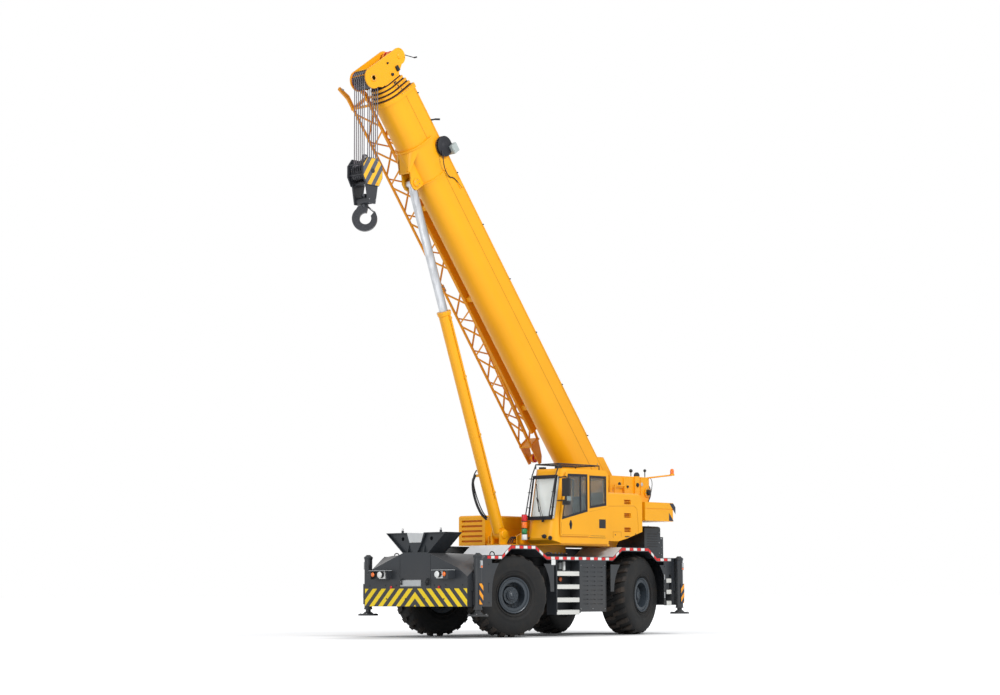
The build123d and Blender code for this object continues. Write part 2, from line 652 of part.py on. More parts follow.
def cab_shell():
    """The whole hollow cab, with its door and window openings and the door's two rails."""
    shell = cab_prism(0) - cab_prism(CAB_WALL) - cab_windows() - door_opening()
    y = (CAB_Y[1] - 2, CAB_Y[1] + DOOR_GAP - SEAT_GAP)
    shell += block((CAB_BACK + 20, 400), y, (DOOR_LOW - 20, DOOR_LOW + 15))
    shell += block((CAB_BACK + 20, 380), y, (DOOR_TOP - 20, DOOR_TOP + 15))
    return shell


def cab_panel(z):
    """The cab between two levels: lower body, window frame or roof."""
    return cab_shell() & block((-2000, 2000), (0, 2000), z)


def cab_glass():
    return (cab_prism(15) - cab_prism(15 + PANE)) & cab_windows()


def rod(*points, radius=14):
    """Round bar run straight from point to point, with a ball at every bend."""
    run = Part()
    for start, end in zip(points, points[1:]):
        run += strut(Vector(*start), Vector(*end), Circle(radius))
    for point in points[1:-1]:
        run += Pos(*point) * Sphere(radius)
    return run


def roof_guard():
    """Bar frame over the roof and round the windscreen, on posts."""
    z = 3960
    corners = [(-860, 660, z), (560, 660, z), (560, 1390, z), (-860, 1390, z), (-860, 660, z)]
    frame = rod(*corners)
    for x, y, _ in corners[:4]:
        frame += bar_z(12, x, y, (3850 + SEAT_GAP, z))
    for y in (660, 1390):
        low = (930, y, 2750)
        frame += rod((560, y, z), (690, y, 3700), low, (CAB_SIDE[4][0] + 14, y, 2740))
    return frame


def mirrors():
    """Mirror heads on an arm ahead of the door's front post."""
    arm = rod((640, 1380, 3100), (735, 1745, 3100), (735, 1745, 3640), (560, 1380, 3640))
    arm += bar_z(14, 735, 1745, (3010, 3110))
    heads = block((700, 765), (1640, 1850), (3190, 3600)) + block((700, 765), (1650, 1840), (2990, 3085))
    return arm + heads


def light_tower():
    """Stacked signal lamps on a bracket before the cab's front left corner."""
    x, y = 1010, 700
    tower = bar_z(62, x, y, (2200, 2790)) + block((800, x), (y - 40, y + 40), (2235, 2265))
    return tower


def cab_fittings():
    """Seat, consoles and column on the floor; mirrors, roof guard and signal lamps outside."""
    floor = CAB_LOW + CAB_WALL
    seat = block((-620, -120), (800, 1260), (floor + 330, floor + 460))
    seat += block((-720, -600), (810, 1250), (floor + 400, floor + 1080))
    seat += block((-520, -220), (900, 1160), (floor + SEAT_GAP, floor + 330))
    column = block((330, 430), (990, 1070), (floor + SEAT_GAP, floor + 650))
    panel = block((380, 560), (800, 1250), (floor + SEAT_GAP, floor + 330))
    return together(seat, column + panel, roof_guard() - cab_prism(-SEAT_GAP),
                    mirrors() - cab_prism(-SEAT_GAP), light_tower() - cab_prism(-SEAT_GAP))


def cab_door():
    y = (CAB_Y[1] + DOOR_GAP, CAB_Y[1] + DOOR_GAP + DOOR_WALL)
    slab = side_plate([(-320, DOOR_LOW), (690, DOOR_LOW), (690, 2650), (500, DOOR_TOP), (-320, DOOR_TOP)], y)
    return slab - door_window()


def door_window():
    return side_plate([(-240, 2880), (630, 2690), (425, 3700), (-240, 3710)], (1450, 1600))


def door_glass():
    y = CAB_Y[1] + DOOR_GAP + DOOR_WALL / 2
    return door_window() & block((-1000, 1000), (y - PANE / 2, y + PANE / 2), (2000, 4000))


# ---- boom ----
def boom_face(k, inset):
    """Section k's outline across the boom: flat top, upright sides and a round belly."""
    radius = BOOM_WIDE[k] / 2 - inset
    top = BELLY_N - BOOM_WIDE[k] / 2 + BOOM_TALL[k] - inset
    belly = CenterArc((0, BELLY_N), radius, 180, 180)
    sides = Polyline((radius, BELLY_N), (radius, top), (-radius, top), (-radius, BELLY_N))
    return make_face([belly, sides])


def boom_prism(k, inset, along):
    face = Plane.YZ.offset(along[0]) * boom_face(k, inset)
    return extrude(face, along[1] - along[0])


def section_end(k):
    return BASE_END + k * COLLAR_PITCH


def boom_base():
    """Outermost section with its foot, front collar and the saddle for the lift cylinder."""
    tube = boom_prism(0, 0, (TAIL_S, BASE_END)) - boom_prism(0, BOOM_WALL, (TAIL_S + 30, BASE_END))
    collar = boom_prism(0, -30, (BASE_END - BASE_COLLAR, BASE_END)) - boom_prism(1, -SLIDE_FIT, (0, 20000))
    foot = bar_y(150, 0, (-PLATE_Y + MOVE_GAP, PLATE_Y - MOVE_GAP), 0)
    base = tube + collar + foot - bar_y(FOOT_PIN + PIN_FIT, 0, (-500, 500), 0)
    top = BELLY_N - BOOM_WIDE[0] / 2 + BOOM_TALL[0]
    ear = side_plate([(100, top - 10), (300, top + 230), (1060, top + 230), (1250, top - 10)], (300, 330))
    guides = block((10560, 10640), (-70, 70), (top - 5, top + 130))
    guides += block((6300, 6380), (-160, 160), (top - 5, top + 190))
    guides += block((9700, 9900), (330, 560), (480, 660)) - boom_prism(0, 0, (0, 20000))
    guides += block((9720, 9880), (374, 410), (300, 500)) + reel()
    return on_boom(base + on_both_sides(ear) + guides)


REEL = (9970, 380)


def reel():
    """Cable reel on the boom's left side, its hub on the tube."""
    s, n = REEL
    drum = bar_y(230, s, (400, 415), n) + bar_y(230, s, (465, 480), n) + bar_y(190, s, (400, 480), n)
    return drum + bar_y(60, s, (370, 500), n)


SADDLE = (9480, 10360)
EAR_LOW = 150


def lift_saddle():
    """Bracket under the boom: two ears for the rod's eye, on a ring round the belly."""
    s, n = CYL_EYE
    ring = boom_prism(0, -14, (SADDLE[0] - 80, SADDLE[1])) + boom_prism(0, -60, (SADDLE[1] - 30, SADDLE[1]))
    ring += boom_prism(0, -45, (SADDLE[0], SADDLE[0] + 25))
    ring -= boom_prism(0, -SEAT_GAP, (0, 20000)) + block((0, 20000), (-600, 600), (180, 700))
    ear = side_plate([(SADDLE[0], -440), (s - 140, n - 100), (s - 60, n - EAR_LOW), (s + 80, n - EAR_LOW),
                      (s + 190, n - 70), (SADDLE[1], -470), (SADDLE[1], -440)], (EAR_Y, EAR_Y + EAR_WALL))
    ear -= boom_prism(0, -SEAT_GAP, (0, 20000))
    ear -= bar_y(CYL_PIN, s, (0, 400), n)
    web = side_plate([(SADDLE[1] - 20, -450), (SADDLE[1], -450), (9960, -725), (9935, -715)], (-EAR_Y, EAR_Y))
    return on_boom(ring + on_both_sides(ear) + (web - boom_prism(0, -SEAT_GAP, (0, 20000))))


def boom_section(k):
    start = 450 + 150 * k
    end = section_end(k)
    tube = boom_prism(k, 0, (start, end)) - boom_prism(k, BOOM_WALL, (0, 20000))
    collar = boom_prism(k, -12, (end - COLLAR_LONG, end)) - boom_prism(k + 1, -SLIDE_FIT, (0, 20000))
    return on_boom(tube + collar)


HEAD_PLATE = (11905, 11935)


def last_section():
    """Innermost section with the head's base plate, cheeks and axles."""
    tube = boom_prism(4, 0, (450 + 150 * 4, HEAD_PLATE[0])) - boom_prism(4, BOOM_WALL, (0, 20000))
    s, n = HEAD_AXLE
    top_s, top_n = TOP_AXLE
    plate = boom_prism(4, -12, HEAD_PLATE) - block((HEAD_PLATE[0], 20000), (-HEAD_CHEEK, HEAD_CHEEK),
                                                   (-1000, n + SHEAVE_RADIUS + 40))
    y = (HEAD_CHEEK, HEAD_CHEEK + CHEEK_WALL)
    cheek = side_plate([(HEAD_PLATE[1], -330), (s - 100, n - 212), (s + 235, n), (top_s + 190, top_n),
                        (top_s - 60, top_n + 180), (HEAD_PLATE[1], 300)], y)
    cheek += bar_y(235, s, y, n) + bar_y(190, top_s, y, top_n)
    ends = (-HEAD_CHEEK - CHEEK_WALL - 20, HEAD_CHEEK + CHEEK_WALL + 20)
    axles = bar_y(50, s, ends, n) + bar_y(35, top_s, ends, top_n)
    spine = block((HEAD_PLATE[1], top_s), (-HEAD_CHEEK, HEAD_CHEEK), (-100, 250))
    rollers = Part()
    for across in (-120, 0, 120):
        rollers += bar_y(150, top_s, (across - 22, across + 22), top_n) - \
            bar_y(140, top_s, (across - 12, across + 12), top_n) + bar_y(132, top_s, (across - 22, across + 22), top_n)
    head = plate + on_both_sides(cheek) + axles + spine + rollers
    return on_boom(together(tube, head))


def sheave_pack(radius, count, x, z):
    """Grooved sheaves side by side on one hub."""
    groove = radius - 22
    pack = turned_y([(-count * SHEAVE_PITCH / 2, 50 + PIN_FIT), (-count * SHEAVE_PITCH / 2, 90),
                     (count * SHEAVE_PITCH / 2, 90), (count * SHEAVE_PITCH / 2, 50 + PIN_FIT)], x, 0, z)
    disc = [(-28, 80), (-28, radius), (-14, groove), (14, groove), (28, radius), (28, 80)]
    for k in range(count):
        pack += turned_y(disc, x, (k - (count - 1) / 2) * SHEAVE_PITCH, z)
    return pack


def head_sheaves():
    x, z = boom_point(*HEAD_AXLE)
    return sheave_pack(SHEAVE_RADIUS, SHEAVES, x, z)


def rope_falls():
    """Twelve parallel falls between the head and the hook block."""
    x, z = boom_point(*HEAD_AXLE)
    reach = SHEAVE_RADIUS - 22 + FALL_ROPE + SEAT_GAP
    falls = Part()
    for k in range(1, SHEAVES):
        y = (k - (SHEAVES - 1) / 2) * SHEAVE_PITCH
        for across in (-reach, reach):
            falls += bar_z(FALL_ROPE, x + across, y, (BLOCK_AXLE_Z + 10, z - 10))
    return falls


TRUNNION_Z = HOOK_TOP_Z - 50


def hook_block():
    """Sheave cheeks and guard over two tapered side plates that carry the hook's trunnion."""
    x, _ = boom_point(*HEAD_AXLE)
    z = BLOCK_AXLE_Z
    cheek = side_plate([(x - 300, z - 130), (x - 190, z - 330), (x + 190, z - 330), (x + 300, z - 130),
                        (x + 300, z + 120), (x + 170, z + 290), (x - 170, z + 290), (x - 300, z + 120)],
                       (HEAD_CHEEK, HEAD_CHEEK + CHEEK_WALL))
    ends = (-HEAD_CHEEK - CHEEK_WALL - 15, HEAD_CHEEK + CHEEK_WALL + 15)
    axle = bar_y(50, x, ends, z)
    hanger = side_plate([(x - 185, z - 262), (x + 185, z - 262), (x + 150, z - 480), (x + 105, TRUNNION_Z - 80),
                         (x - 105, TRUNNION_Z - 80), (x - 150, z - 480)], (195, HEAD_CHEEK + 10))
    tie = block((x - 120, x + 120), (-HEAD_CHEEK, HEAD_CHEEK), (z - 300, z - 262))
    trunnion = bar_y(90, x, (-205, 205), TRUNNION_Z)
    lug = side_plate([(x - 110, z + 240), (x + 110, z + 240), (x + 40, z + 400), (x - 40, z + 400)], (-20, 20))
    lug += block((x - 60, x + 60), (-HEAD_CHEEK, HEAD_CHEEK), (z + 235, z + 262))
    block_body = on_both_sides(cheek + hanger) + axle + tie + trunnion + lug
    return block_body - bar_z(50 + PIN_FIT, x, 0, (HOOK_TOP_Z - 300, z - 310))


def block_sheaves():
    x, _ = boom_point(*HEAD_AXLE)
    return sheave_pack(SHEAVE_RADIUS, SHEAVES, x, BLOCK_AXLE_Z)


HOOK_BOWL = 450
HOOK_HALF = 62


def hook():
    """Forged hook drawn flat: neck, round bowl, latch and point, with its shank and collar."""
    centre = HOOK_TOP_Z - HOOK_BOWL
    y = (-HOOK_HALF, HOOK_HALF)
    body = bar_y(280, 0, y, centre) + side_plate(
        [(-60, centre + 300), (70, centre + 300), (75, centre + 270), (40, centre + 150),
         (-250, centre + 100), (-150, centre + 270)], y)
    body -= bar_y(130, 20, (-200, 200), centre)
    body -= side_plate([(20, centre), (140, centre + 60), (225, centre + 165), (300, centre + 170),
                        (330, centre + 400), (78, centre + 400), (78, centre + 270), (60, centre + 180)],
                       (-200, 200))
    rims = [e for e in body.edges() if abs(abs(e.center().Y) - HOOK_HALF) < 1 and e.length > 60]
    try:
        body = chamfer(rims, 18)
    except Exception:
        pass
    body += side_plate([(50, centre + 262), (80, centre + 285), (228, centre + 150), (205, centre + 132)],
                       (-16, 16))
    shank = bar_z(50, 0, 0, (centre + 250, TRUNNION_Z + 150)) + bar_z(80, 0, 0, (TRUNNION_Z + 100, TRUNNION_Z + 150))
    collar = bar_z(85, 0, 0, (centre + 262, TRUNNION_Z - 91))
    x, _ = boom_point(*HEAD_AXLE)
    return Pos(x, 0, 0) * Rot(0, 0, 131.8) * (body + shank + collar)


# ---- lift cylinder, drawn along X from its foot pin ----
def on_cylinder(shape):
    eye_x, eye_z = boom_point(*CYL_EYE)
    x, z = CYL_FOOT
    return Pos(x, 0, z) * Rot(0, -degrees(atan2(eye_z - z, eye_x - x)), 0) * shape


def cylinder_length():
    eye_x, eye_z = boom_point(*CYL_EYE)
    return hypot(eye_x - CYL_FOOT[0], eye_z - CYL_FOOT[1])


def foot_pin():
    ends = PLATE_Y + PLATE_WALL + 60
    return bar_y(FOOT_PIN, FOOT_X, (-ends, ends), FOOT_Z)


def cylinder_pin():
    ends = EAR_Y + EAR_WALL + 20
    return bar_y(CYL_PIN, CYL_FOOT[0], (-ends, ends), CYL_FOOT[1])


BORE_RADIUS = 120
GLAND_LONG = 120
PISTON = (2620, 2790)


def cylinder_barrel():
    barrel = bar_x(BARREL_RADIUS, (60, BARREL_END), 0, 0) + bar_x(160, (BARREL_END - 90, BARREL_END), 0, 0)
    barrel -= bar_x(BORE_RADIUS, (250, BARREL_END - GLAND_LONG), 0, 0)
    barrel -= bar_x(ROD_RADIUS + SLIDE_FIT, (250, BARREL_END + 10), 0, 0)
    barrel = barrel & (block((170, 2 * BARREL_END), (-400, 400), (-400, 400)) +
                       block((-400, 200), (-EYE_HALF, EYE_HALF), (-400, 400)))
    eye = bar_y(EYE_RADIUS + 10, 0, (-EYE_HALF, EYE_HALF), 0)
    pipe = bar_x(16, (900, BARREL_END - 60), BARREL_RADIUS + 22, 0)
    for x in (1000, 2400, 3800, 5200):
        pipe += block((x, x + 60), (BARREL_RADIUS - 12, BARREL_RADIUS + 42), (-30, 30))
    body = barrel + pipe + eye - bar_y(CYL_PIN + PIN_FIT, 0, (-500, 500), 0)
    return on_cylinder(together(body, held_hose()))


HOSE = [(1480, -190, -110), (1420, -240, -170), (1150, -300, -200), (800, -290, -200), (520, -230, -170),
        (430, -190, -110)]


def held_hose():
    """Thick hose in a hanging loop beside the barrel, gripped by a fitting at each end."""
    run = FilletPolyline(*HOSE, radius=60)
    hose = sweep(Plane(origin=run @ 0, z_dir=run % 0) * Circle(20), path=run)
    for point in (HOSE[0], HOSE[-1]):
        hose += Pos(*point) * Sphere(34)
        hose += block((point[0] - 25, point[0] + 25), (point[1], -60),
                      (point[2] - 25, point[2] + 25)) - bar_x(BARREL_RADIUS + SEAT_GAP, (0, 3000), 0, 0)
    return hose


def cylinder_piston():
    return on_cylinder(bar_x(BORE_RADIUS - SLIDE_FIT, PISTON, 0, 0))


def cylinder_rod():
    length = cylinder_length()
    rod = bar_x(ROD_RADIUS, (PISTON[1] + SEAT_GAP, length), 0, 0)
    rod &= bar_x(ROD_RADIUS, (0, length - 40), 0, 0)
    return on_cylinder(rod + bar_y(EYE_RADIUS, length, (-EYE_HALF, EYE_HALF), 0))


# ---- stowed jib: stations (along the boom, inner y, outer y, top n) from root to tip ----
JIB_STATIONS = [(11500, -620, -1180, 420), (6600, -630, -1240, 420), (2000, -975, -1310, 200)]
JIB_LOW = -100
JIB_CHORD = 32
JIB_LACE = 16
JIB_BAYS = (10, 10)
EXTENSION_Y = (-575, -500)


def jib_corner(part, share, row, column):
    """A chord's place at a share of the way along one part of the jib."""
    start, end = JIB_STATIONS[part], JIB_STATIONS[part + 1]
    s, inner, outer, high = (start[k] + (end[k] - start[k]) * share for k in range(4))
    return Vector(s, (inner, outer)[column], (JIB_LOW, high)[row])


def strut(start, end, bar):
    """Stands a bar's round or square section on the line from start to end."""
    run = end - start
    return Plane(origin=start, z_dir=run) * extrude(bar, run.length)


def jib_part(part):
    """Four chords laced in zigzags, top and bottom half a bay ahead of the sides."""
    bays = JIB_BAYS[part]
    lace = Rectangle(2 * JIB_LACE, 2 * JIB_LACE)
    members = [strut(jib_corner(part, 0, row, column), jib_corner(part, 1, row, column), Circle(JIB_CHORD))
               for row in (0, 1) for column in (0, 1)]
    ends = 0.08 / bays
    for row in (0, 1):
        for bay in range(bays - 1):
            sides = (0, 1) if bay % 2 else (1, 0)
            start = jib_corner(part, (bay + 0.25) / bays + ends, row, sides[0])
            end = jib_corner(part, (bay + 1.25) / bays - ends, row, sides[1])
            members.append(strut(start, end, lace))
    for column in (0, 1):
        for bay in range(bays - 1):
            rows = (0, 1) if bay % 2 else (1, 0)
            start = jib_corner(part, (bay + 0.75) / bays + ends, rows[0], column)
            end = jib_corner(part, (bay + 1.75) / bays - ends, rows[1], column)
            members.append(strut(start, end, lace))
    return members


def jib_ends():
    """Joint blocks between the two parts, horns at the root and the tip's end frame."""
    blocks = []
    s, inner, outer, high = JIB_STATIONS[1]
    for y in (inner, outer):
        for n in (JIB_LOW, high):
            blocks.append(block((s - 90, s + 90), (y - 42, y + 42), (n - 42, n + 42)))
    s, inner, outer, high = JIB_STATIONS[0]
    for y in (inner, outer):
        horn = [(s - 20, -135), (s + 250, -135), (s + 570, -240), (s + 600, -180), (s + 300, -50), (s - 20, -60)]
        blocks.append(side_plate(horn, (y - 28, y + 28)))
        blocks.append(block((s - 40, s + 20), (y - 40, y + 40), (JIB_LOW - 36, high + 36)))
    for n in (JIB_LOW, high):
        blocks.append(block((s - 34, s + 14), (outer, inner), (n - 28, n + 28)))
    s, inner, outer, high = JIB_STATIONS[2]
    blocks.append(block((s - 20, s + 20), (outer - 32, inner + 32), (JIB_LOW - 34, high + 34)))
    for y in (inner, outer):
        tip = [(s + 50, JIB_LOW - 35), (s - 510, JIB_LOW - 35), (s - 530, -60), (s - 400, 60), (s + 50, high + 30)]
        blocks.append(side_plate(tip, (y - 15, y + 15)))
    blocks.append(bar_y(30, s - 400, (outer - 15, inner + 15), -20))
    blocks.append(bar_y(110, s - 400, (outer + 120, outer + 190), -20))
    return blocks


def jib_lattice():
    members = jib_part(0) + jib_part(1) + jib_ends()
    return members[0].fuse(*members[1:])


def jib():
    return on_boom(jib_lattice())


def jib_extension():
    """Box-section second part of the jib, stowed between the lattice and the boom."""
    return on_boom(block((2500, 9000), EXTENSION_Y, (-320, -100)))


def jib_brackets():
    """Stowing arms from the boom's right side to the extension and the upper inner chord."""
    side = -BOOM_WIDE[0] / 2 + 80
    arms = Part()
    for s in (3200, 6300, 8800):
        arms += block((s - 60, s + 60), (EXTENSION_Y[1] + SEAT_GAP, side), (-260, -160))
    for s in (6900, 11300):
        root, joint = JIB_STATIONS[0][0], JIB_STATIONS[1][0]
        chord = jib_corner(0, (root - s) / (root - joint), 1, 0)
        reach = chord.Y + JIB_CHORD + SEAT_GAP
        arms += block((s - 50, s + 50), (reach, side), (chord.Z - 30, chord.Z + 30))
    return on_boom(arms - boom_prism(0, -SEAT_GAP, (0, 20000)))


# ---- write the nodes ----
save("carrier_frame", carrier_frame())
save("fender_decks", fender_decks())
save("steps", steps())
save("axle_beams", axle_beams())
save("outrigger_boxes", front_housing() + rear_housing())
save("tow_eyes", tow_eyes())
save("boom_rest", boom_rest())
save("engine", engine())
save("rear_hood", rear_hood())
for end, side in CORNERS:
    corner = f"{end}_{side}"
    for name, piece in {"knuckle": knuckle, "tyre": tyre, "rim": rim}.items():
        save(f"{name}_{corner}", steered(piece(AXLES[end], SIDES[side]), end, side))
    jack_x = {"front": FRONT_JACK_X, "rear": REAR_JACK_X}[end]
    save(f"beam_{corner}", outrigger_beam(jack_x, side))
    save(f"jack_{corner}", jack_leg(jack_x, side))

save("turntable", turntable())
save("counterweight", counterweight())
save("winch_frame", winch_frame())
save("winch_drum", winch_drum())
save("side_hoods", side_hoods())
save("cab_body", cab_panel((CAB_LOW, BELT_Z)))
save("cab_frame", cab_panel((BELT_Z, ROOF_Z)))
save("cab_roof", cab_panel((ROOF_Z, 4000)))
save("cab_glass", cab_glass())
save("cab_fittings", cab_fittings())
save("cab_door", cab_door())
save("door_glass", door_glass())
save("foot_pin", foot_pin())
save("boom_base", boom_base())
save("lift_saddle", lift_saddle())
for k in (1, 2, 3):
    save(f"boom_section_{k + 1}", boom_section(k))
save("boom_section_5", last_section())
save("head_sheaves", head_sheaves())
save("rope_falls", rope_falls())
save("hook_block", hook_block())
save("block_sheaves", block_sheaves())
save("hook", hook())
save("cylinder_pin", cylinder_pin())
save("cylinder_barrel", cylinder_barrel())
save("cylinder_piston", cylinder_piston())
save("cylinder_rod", cylinder_rod())
save("jib_lattice", jib())
save("jib_extension", jib_extension())
save("jib_brackets", jib_brackets())
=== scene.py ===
import json
import math
import bpy
import bmesh
from mathutils import Matrix, Vector


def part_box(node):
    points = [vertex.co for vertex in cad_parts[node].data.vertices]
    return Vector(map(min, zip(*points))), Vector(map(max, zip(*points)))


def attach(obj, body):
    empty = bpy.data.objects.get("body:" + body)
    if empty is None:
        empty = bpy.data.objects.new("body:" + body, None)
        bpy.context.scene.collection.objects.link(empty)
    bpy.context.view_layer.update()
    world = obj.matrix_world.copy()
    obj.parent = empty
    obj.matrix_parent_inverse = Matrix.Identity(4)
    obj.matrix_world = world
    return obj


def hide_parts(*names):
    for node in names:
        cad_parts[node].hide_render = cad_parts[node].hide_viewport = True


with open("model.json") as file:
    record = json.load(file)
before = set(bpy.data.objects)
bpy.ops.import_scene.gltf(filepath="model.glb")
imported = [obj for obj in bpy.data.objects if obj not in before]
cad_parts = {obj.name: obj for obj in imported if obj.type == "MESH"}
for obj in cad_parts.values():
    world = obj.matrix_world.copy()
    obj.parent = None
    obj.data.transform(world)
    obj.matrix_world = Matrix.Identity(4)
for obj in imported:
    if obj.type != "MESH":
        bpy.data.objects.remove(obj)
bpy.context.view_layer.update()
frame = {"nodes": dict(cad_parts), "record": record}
scene = bpy.context.scene

# ---- places, in metres from mid-wheelbase; MID_X moves them into the frame ----
# CYL_EYE, HEAD_AXLE and TOP_AXLE run along the boom and off its line, from its foot pin.
MID_X = -0.897
FOOT = (-2.42, 3.03)
LUFF = 52
CYL_FOOT = (1.1, 2.34)
CYL_EYE = (9.64, -0.642)
HEAD_AXLE = (12.245, -0.475)
TOP_AXLE = (12.25, 0.56)
WHEEL_Y = 1.2
JACK_Y = 1.72
SKIRT_Y = 1.6
TYRE_RADIUS = 0.935
AXLES = {"front": 2.106, "rear": -2.106}
JACKS = {"front": 3.67, "rear": -3.45}
SIDES = {"left": 1, "right": -1}
KINGPIN_Y = 0.92
STEER = {"front": -16, "rear": 13}
LAMP_REACH = 0.235
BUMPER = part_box("outrigger_boxes")[1].x - MID_X - LAMP_REACH
FENDER_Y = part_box("fender_decks")[1].y
HOUSING_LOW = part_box("outrigger_boxes")[0].z
ORIGIN, AHEAD, OUT, UP = (0, 0, 0), (1, 0, 0), (0, 1, 0), (0, 0, 1)


def boom_place(along, normal):
    """A point of the boom's side view, in the carrier's side view."""
    lean = math.radians(LUFF)
    return (FOOT[0] + along * math.cos(lean) - normal * math.sin(lean),
        FOOT[1] + along * math.sin(lean) + normal * math.cos(lean))


def frame_at(x, z=0.0, lean=0.0):
    """Frame that starts at a point of the side view, leaning up by an angle."""
    return Matrix.Translation((x + MID_X, 0, z)) @ Matrix.Rotation(-lean, 4, "Y")


CARRIER_FRAME = frame_at(0)
BOOM_FRAME = frame_at(*FOOT, math.radians(LUFF))
EYE_X, EYE_Z = boom_place(*CYL_EYE)
BARREL_FRAME = frame_at(*CYL_FOOT, math.atan2(EYE_Z - CYL_FOOT[1], EYE_X - CYL_FOOT[0]))
HEAD_X, HEAD_Z = boom_place(*HEAD_AXLE)


# ---- mesh code ----
def turns(count, start=0.0):
    """Angles evenly round a circle."""
    return [start + 2 * math.pi * k / count for k in range(count)]


def circle(angles, radius, centre, axis):
    """Points round a centre, across the axis numbered 0, 1 or 2."""
    points = []
    for angle in angles:
        offset = [radius * math.cos(angle), radius * math.sin(angle)]
        offset.insert(axis, 0)
        points.append(tuple(c + o for c, o in zip(centre, offset)))
    return points


def cap(radius, flat, tall, top):
    """Profile of a round cap with a chamfer between its side and its top."""
    return [(0, radius), (flat, radius), (tall, top), (tall, 0)]


class Piece:
    """A mesh built form by form in one frame, then bevelled, coloured and set riding on a body."""

    def __init__(self, name, body, place=CARRIER_FRAME):
        self.name, self.body, self.place = name, body, place
        self.mesh = bmesh.new()
        self.materials = []

    def loft(self, rings, material, closed=True, smooth=False):
        """Skin over rings of equally many points, with flat caps unless it closes on itself."""
        rows = [[self.mesh.verts.new(point) for point in ring] for ring in rings]
        skin = [self.mesh.faces.new((low[k], low[k + 1 - len(low)], high[k + 1 - len(low)], high[k])) for low,
            high in zip(rows, rows[1:]) for k in range(len(low))]
        caps = [self.mesh.faces.new(row) for row in (rows[0][::-1], rows[-1])] if closed else []
        if material not in self.materials:
            self.materials.append(material)
        for face in skin + caps:
            face.material_index = self.materials.index(material)
        for face in skin:
            face.smooth = smooth

    def side(self, points, y, material):
        """Plate whose outline is drawn in X and Z."""
        self.loft([[(px, across, pz) for px, pz in points] for across in y], material)

    def cross(self, points, x, material):
        """Plate whose outline is drawn in Y and Z."""
        self.loft([[(along, py, pz) for py, pz in points] for along in x], material)

    def box(self, x, y, z, material):
        self.cross([(y[0], z[0]), (y[1], z[0]), (y[1], z[1]), (y[0], z[1])], x, material)

    def rod(self, start, end, radius, material, sides=14):
        way = Vector(end) - Vector(start)
        self.lathe([(0, radius), (way.length, radius)], start, way, material, sides)

    def lathe(self, profile, place, axis, material, sides=40, smooth=True, ring=False):
        """Solid of revolution, or a ring; the profile runs (along the axis, radius)."""
        profile = list(profile) + [profile[0]] if ring else profile
        turn = Vector(axis).to_track_quat("Z", "Y")
        rings = [[Vector(place) + turn @ Vector(point) for point in circle(turns(sides), radius, (0, 0, along), 2)]
            for along, radius in profile]
        self.loft(rings, material, closed=not ring, smooth=smooth)

    def bolts(self, places, axis, radius, material, tall=0.014):
        for place in places:
            self.lathe([(0, radius), (tall * 0.7, radius), (tall, radius * 0.72)], place, axis, material, 6, False)

    def done(self, bevel=0.0, replaces=()):
        bmesh.ops.recalc_face_normals(self.mesh, faces=self.mesh.faces)
        bmesh.ops.transform(self.mesh, matrix=self.place, verts=self.mesh.verts)
        data = bpy.data.meshes.new(self.name)
        self.mesh.to_mesh(data)
        self.mesh.free()
        for material in self.materials:
            data.materials.append(material)
        piece = bpy.data.objects.new(self.name, data)
        scene.collection.objects.link(piece)
        if bevel:
            edge = piece.modifiers.new("worn_edge", "BEVEL")
            edge.width, edge.segments, edge.limit_method = bevel, 2, "ANGLE"
            edge.angle_limit = math.radians(50)
        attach(piece, self.body)
        if replaces:
            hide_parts(*replaces)


def tube(name, body, points, radius, material, place=CARRIER_FRAME):
    """Bent bar or hose: a round curve through the points."""
    curve = bpy.data.curves.new(name, "CURVE")
    curve.dimensions = "3D"
    curve.bevel_depth = radius
    curve.bevel_resolution = 3
    curve.use_fill_caps = True
    spline = curve.splines.new("NURBS")
    spline.points.add(len(points) - 1)
    for item, point in zip(spline.points, points):
        item.co = (*(place @ Vector(point)), 1)
    spline.order_u = 3
    spline.use_endpoint_u = True
    curve.materials.append(material)
    piece = bpy.data.objects.new(name, curve)
    scene.collection.objects.link(piece)
    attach(piece, body)


def clip(points, gap):
    """Part of a polygon where gap, a function of the point, isn't negative."""
    kept = []
    for before, point in zip(points[-1:] + points[:-1], points):
        one, two = gap(before), gap(point)
        if (one >= 0) != (two >= 0):
            share = one / (one - two)
            kept.append(tuple(p + (q - p) * share for p, q in zip(before, point)))
        if two >= 0:
            kept.append(point)
    return kept


def left_of(a, b):
    """Gap of a point from the line from a to b, positive on the line's left."""
    return lambda p: (b[0] - a[0]) * (p[1] - a[1]) - (b[1] - a[1]) * (p[0] - a[0])


def stripes(low, high, left, right, wide, lean, start=0.0):
    """Slanted stripes across a band, as outlines in (across, up)."""
    found = []
    run = (high - low) * lean
    count = int((right - left + 2 * abs(run)) / (2 * wide)) + 3
    for k in range(-count, count + 1):
        foot = (left if lean > 0 else right) + start + 2 * wide * k
        outline = [(foot, low), (foot + wide, low), (foot + wide + run, high), (foot + run, high)]
        outline = clip(clip(outline, lambda point: point[0] - left), lambda point: right - point[0])
        if len(outline) > 2:
            found.append(outline)
    return found


# ---- materials ----
def fill(tree, made, inputs):
    """Sets a node's inputs, or links them where the value is another node's output."""
    for name, value in inputs.items():
        if isinstance(value, bpy.types.NodeSocket):
            tree.links.new(value, made.inputs[name])
        else:
            made.inputs[name].default_value = value


def node(tree, kind, inputs, output=0, **settings):
    """A new shader node; gives one of its outputs."""
    made = tree.nodes.new("ShaderNode" + kind)
    for name, value in settings.items():
        setattr(made, name, value)
    fill(tree, made, inputs)
    return made.outputs[output]


